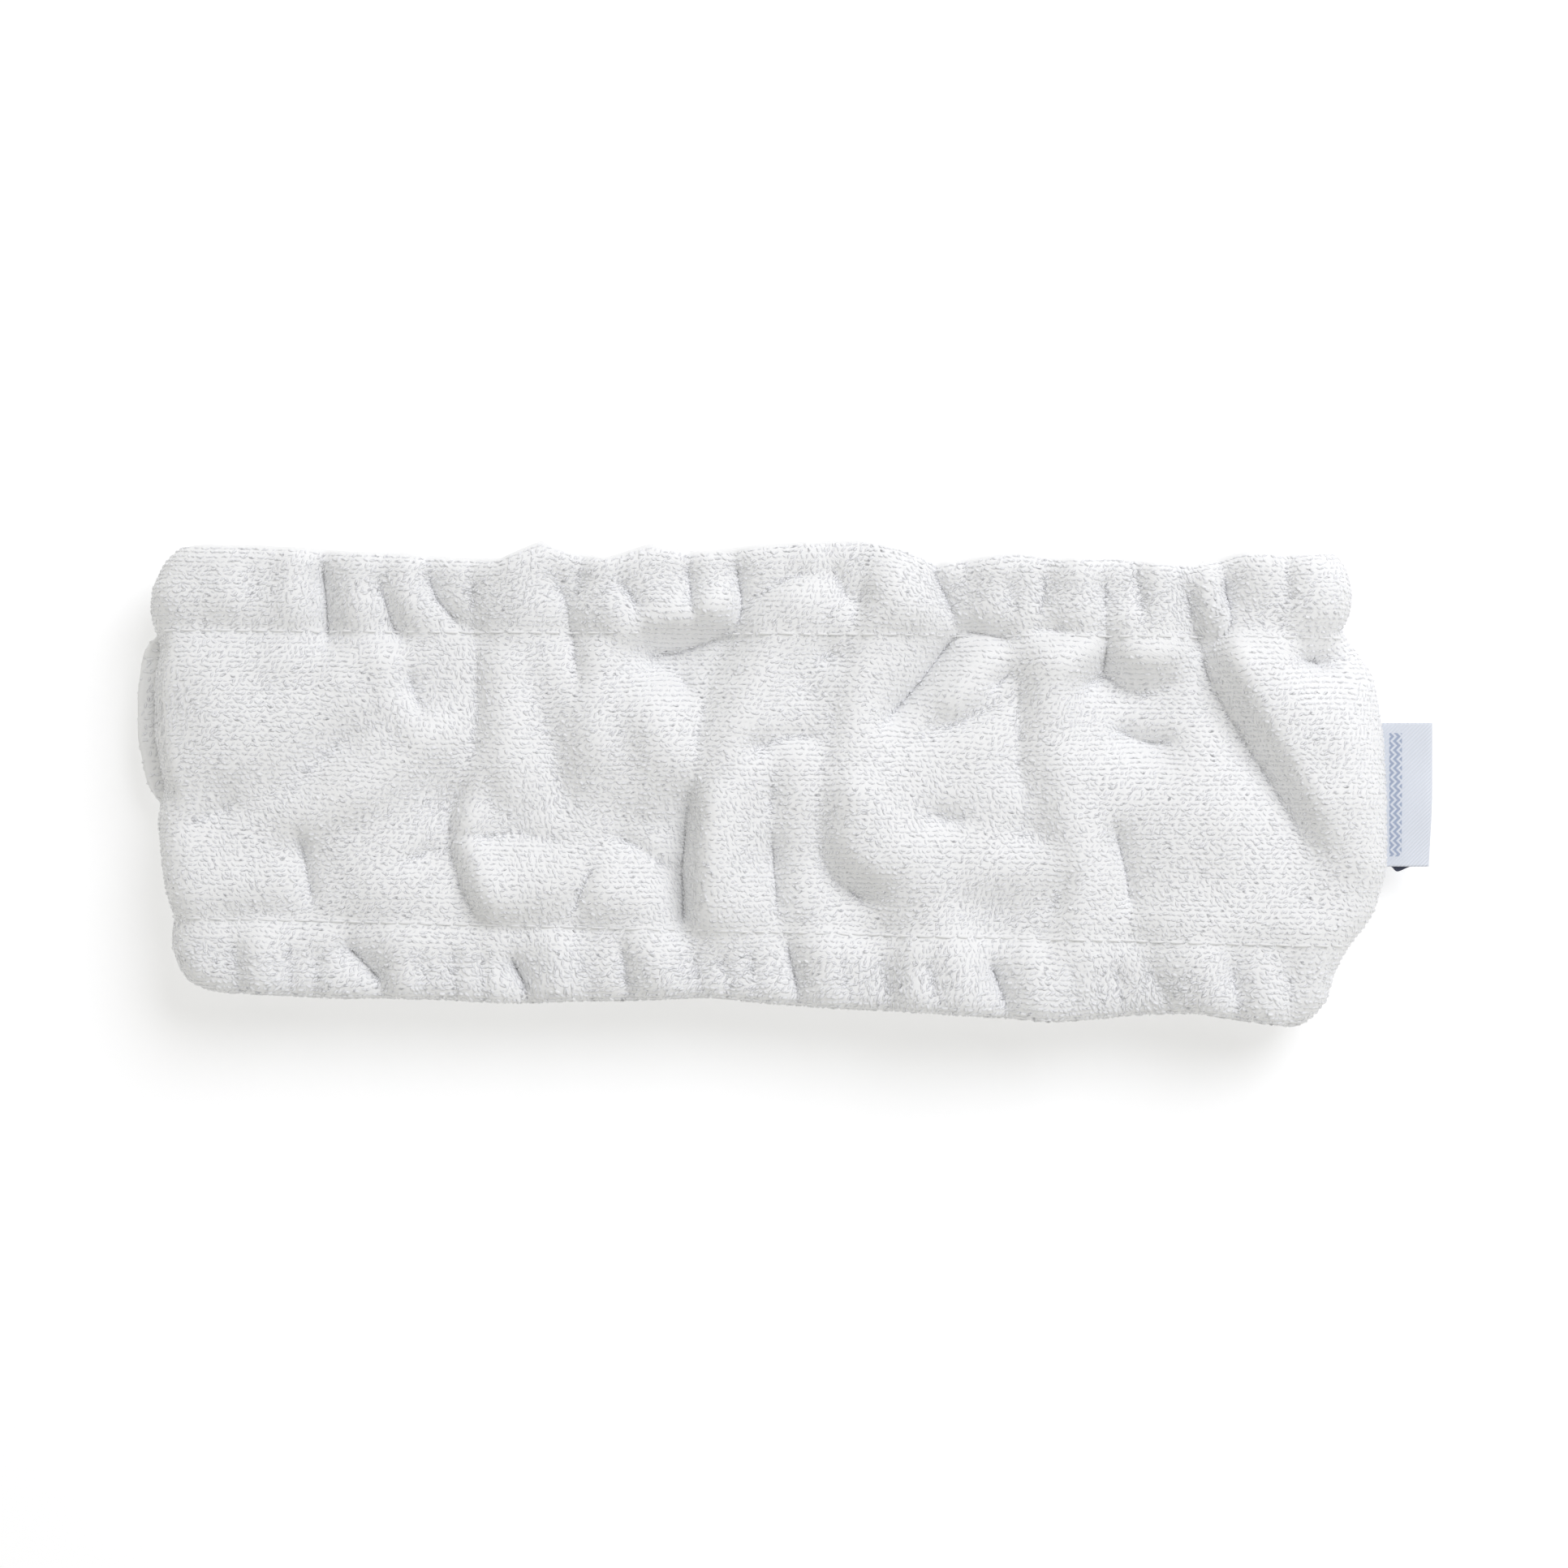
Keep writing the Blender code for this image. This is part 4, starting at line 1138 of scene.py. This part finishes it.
label = {
    "width": 25.4,
    "ribbon": 0.25,
    "puff": 0.75,  # half the height of the loop
    "acrossSteps": 72,
    "slip": 0.9,  # the ply underneath has slipped down this far beside the seam
    "chevron": 0.0008,  # metres, half a zigzag of the woven border
    "stripePitch": 0.00055,
    "stripe": 0.0003,
    "border": (0.0046, 0.0068),  # where the border runs along the ribbon, and across it
    "borderEnds": (0.0018, 0.0236),
    # where a near-black strip is laid along the lower edge of the ribbon's under ply
    "darkLowerEdgeFrom": (0.56, 0.0243),  # past this share of the ribbon, and beyond this width
    "ground": (0.76, 0.79, 0.85),
    "groundShade": (0.72, 0.76, 0.83),
    "motif": (0.38, 0.44, 0.58),
    # the colour of that near-black strip along the under ply's lower edge
    "darkLowerEdge": (0.05, 0.06, 0.11),
}


def makeLabel():
    middleY = (labelLow[1] + labelHigh[1]) / 2
    root, tip, tail = labelLow[0], labelHigh[0], tailLow[0] + 0.4
    puff = label["puff"]
    path = [(tail, 0.17), (root - 1.5, 0.17), (root - 0.3, 0.22), (root + 0.9, 0.45)]
    path += [(root + 2.4, puff * 0.95), (tip - 3.2, puff), (tip - 1.4, puff * 0.92)]
    for turn in (62, 35, 0, -35, -62):
        a = math.radians(turn)
        path.append((tip - 0.85 + 0.72 * math.cos(a), puff * 0.86 * math.sin(a)))
    path += [(x, -z) for x, z in path[:7][::-1]]
    path = np.array(path)
    far = lengthAlong(path)
    stops = np.linspace(0, far[-1], 90)
    px, pz = np.interp(stops, far, path[:, 0]), np.interp(stops, far, path[:, 1])
    for _ in range(2):
        px[1:-1] = (px[:-2] + 2 * px[1:-1] + px[2:]) / 4
        pz[1:-1] = (pz[:-2] + 2 * pz[1:-1] + pz[2:]) / 4
    share = np.linspace(-1, 1, label["acrossSteps"] + 1)
    out = smooth((px - root) / (tip - root))[:, None]
    under = (pz < 0)[:, None] * out
    bow = 0.35 * np.cos(share * 1.4)[None, :] - 0.28 * share[None, :]
    x = px[:, None] + out * (bow - 0.25) - 0.3 * under * (1 - abs(share[None, :]))
    y = middleY - share[None, :] * label["width"] / 2 + 0 * x
    slipped = (smooth((px - root) / 1.2) * (1 - smooth((px - root - 1.0) / 3.2)) * (pz < 0))[:, None]
    y = y - label["slip"] * slipped * smooth((share - 0.2) / 0.8)[None, :]
    z = midZ + pz[:, None] + out * (0.18 * np.sin(share * 5.2 + 0.6))[None, :]
    points = np.stack([x, y, z], -1)
    rows, columns = points.shape[:2]
    uvs = np.stack([stops[:, None] + 0 * x, (share[None, :] + 1) * label["width"] / 2 + 0 * x], -1)
    faces = [face[::-1] for face in gridFaces(rows, columns)]
    piece = meshObject("labelRibbon", points.reshape(-1, 3), faces, uvs.reshape(-1, 2), "ribbon")
    thickened(piece, label["ribbon"])
    print("ribbon path", round(far[-1], 1), "mm")
    return piece, far[-1]


def labelFinish():  # satin twill with a woven border of small chevrons beside the seam
    coat, node, link, shader = nodesOf("label satin", label["ground"], 0.42)
    shader.inputs["Sheen Weight"].default_value = 0.2
    shader.inputs["Anisotropic"].default_value = 0.4
    uv = node("ShaderNodeUVMap")
    uv.uv_map = "ribbon"
    split = node("ShaderNodeSeparateXYZ")
    link(uv.outputs["UV"], split.inputs[0])

    def step(kind, *values):
        return mathStep(coat.node_tree, kind, *values)

    def inside(socket, ends):  # 1 between two places on the ribbon
        return step("MULTIPLY", step("GREATER_THAN", socket, ends[0]), step("LESS_THAN", socket, ends[1]))

    u, v = split.outputs[0], split.outputs[1]
    saw = step("PINGPONG", v, label["chevron"])
    bands = step("PINGPONG", step("SUBTRACT", u, saw), label["stripePitch"])
    lines = step("LESS_THAN", bands, label["stripe"])
    inBorder = step("MULTIPLY", lines, inside(u, label["border"]))
    marks = step("MULTIPLY", inBorder, inside(v, label["borderEnds"]))
    twill = node("ShaderNodeTexWave")
    twill.bands_direction = "DIAGONAL"
    twill.inputs["Scale"].default_value = 900.0
    twill.inputs["Distortion"].default_value = 0.4
    link(uv.outputs["UV"], twill.inputs["Vector"])
    ground = node("ShaderNodeMix")
    ground.data_type = "RGBA"
    ground.inputs[6].default_value = (*label["ground"], 1.0)
    ground.inputs[7].default_value = (*label["groundShade"], 1.0)
    link(twill.outputs["Fac"], ground.inputs["Factor"])
    marked = node("ShaderNodeMix")
    marked.data_type = "RGBA"
    marked.inputs[7].default_value = (*label["motif"], 1.0)
    link(marks, marked.inputs["Factor"])
    link(ground.outputs[2], marked.inputs[6])
    # near-black colour laid on a strip along the lower edge of the ribbon's under ply
    dark = node("ShaderNodeMix")
    dark.data_type = "RGBA"
    dark.inputs[7].default_value = (*label["darkLowerEdge"], 1.0)
    share, width = label["darkLowerEdgeFrom"]
    onUnder = step("GREATER_THAN", u, labelLength * mm * share)
    link(step("MULTIPLY", onUnder, step("GREATER_THAN", v, width)), dark.inputs["Factor"])
    link(marked.outputs[2], dark.inputs[6])
    link(dark.outputs[2], shader.inputs["Base Color"])
    bump = node("ShaderNodeBump")
    bump.inputs["Strength"].default_value = 0.5
    bump.inputs["Distance"].default_value = 0.00012
    link(step("ADD", twill.outputs["Fac"], marks), bump.inputs["Height"])
    link(bump.outputs["Normal"], shader.inputs["Normal"])
    return coat


labelPiece, labelLength = makeLabel()
labelPiece.data.materials.append(labelFinish())
print("label made")


# light and floor

studio = {
    "sky": 0.58,
    "skyColour": (1.0, 0.995, 0.965),
    "lamp": 5.8,
    "lampColour": (0.975, 0.988, 1.055),
    "lampSize": 0.8,
    "lampFrom": (0.42, 0.54, 0.84),
    "floor": 0.92,
    "floorGlow": 0.24,
}


def makeStudio():
    scene = bpy.context.scene
    scene.view_settings.view_transform = "Standard"
    world = bpy.data.worlds.new("studio")
    world.use_nodes = True
    world.node_tree.nodes["Background"].inputs["Color"].default_value = (*studio["skyColour"], 1.0)
    world.node_tree.nodes["Background"].inputs["Strength"].default_value = studio["sky"]
    scene.world = world
    lamp = bpy.data.lights.new("softbox", "AREA")
    lamp.shape = "DISK"
    lamp.size = studio["lampSize"]
    lamp.energy = studio["lamp"]
    lamp.color = studio["lampColour"]
    holder = bpy.data.objects.new("softbox", lamp)
    holder.location = studio["lampFrom"]
    aim = Vector((0, 0, 0)) - holder.location
    holder.rotation_euler = aim.to_track_quat("-Z", "Y").to_euler()
    scene.collection.objects.link(holder)
    corners = np.array([(-6000, -6000, 0), (6000, -6000, 0), (6000, 6000, 0), (-6000, 6000, 0)])
    floor = meshObject("floor", corners, [(0, 1, 2, 3)])
    paper, node, link, shader = nodesOf("paper", (studio["floor"],) * 3, 0.9)
    shader.inputs["Emission Color"].default_value = (1.0, 1.0, 1.0, 1.0)  # a lit tabletop
    shader.inputs["Emission Strength"].default_value = studio["floorGlow"]
    floor.data.materials.append(paper)


makeStudio()
print("studio lit")


# the frame's own parts hidden, each new piece's placing set into its mesh, and the side seam hung on the seam
# end

def gathersWith(piece):
    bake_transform(piece)


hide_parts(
    "towelling_sleeve", "upper_casing", "lower_casing",
    "front_seam_allowance", "back_seam_allowance",
)
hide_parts("upper_elastic")
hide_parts("lower_elastic")
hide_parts("upper_hem_stitching")
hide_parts("lower_hem_stitching")
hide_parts("upper_hem_overlock")
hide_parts("lower_hem_overlock")
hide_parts("side_seam_overlock")
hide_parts("side_seam_stitching")
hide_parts("label", "label_tail")
for piece in (towelling, *pilePieces):
    gathersWith(piece)
for piece in (upperElastic, lowerElastic):
    gathersWith(piece)
for piece in (upperStitching, lowerStitching, upperOverlock, lowerOverlock):
    gathersWith(piece)
for piece in (sideOverlock, sideStitches):
    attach(piece, "seam_end")
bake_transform(labelPiece)
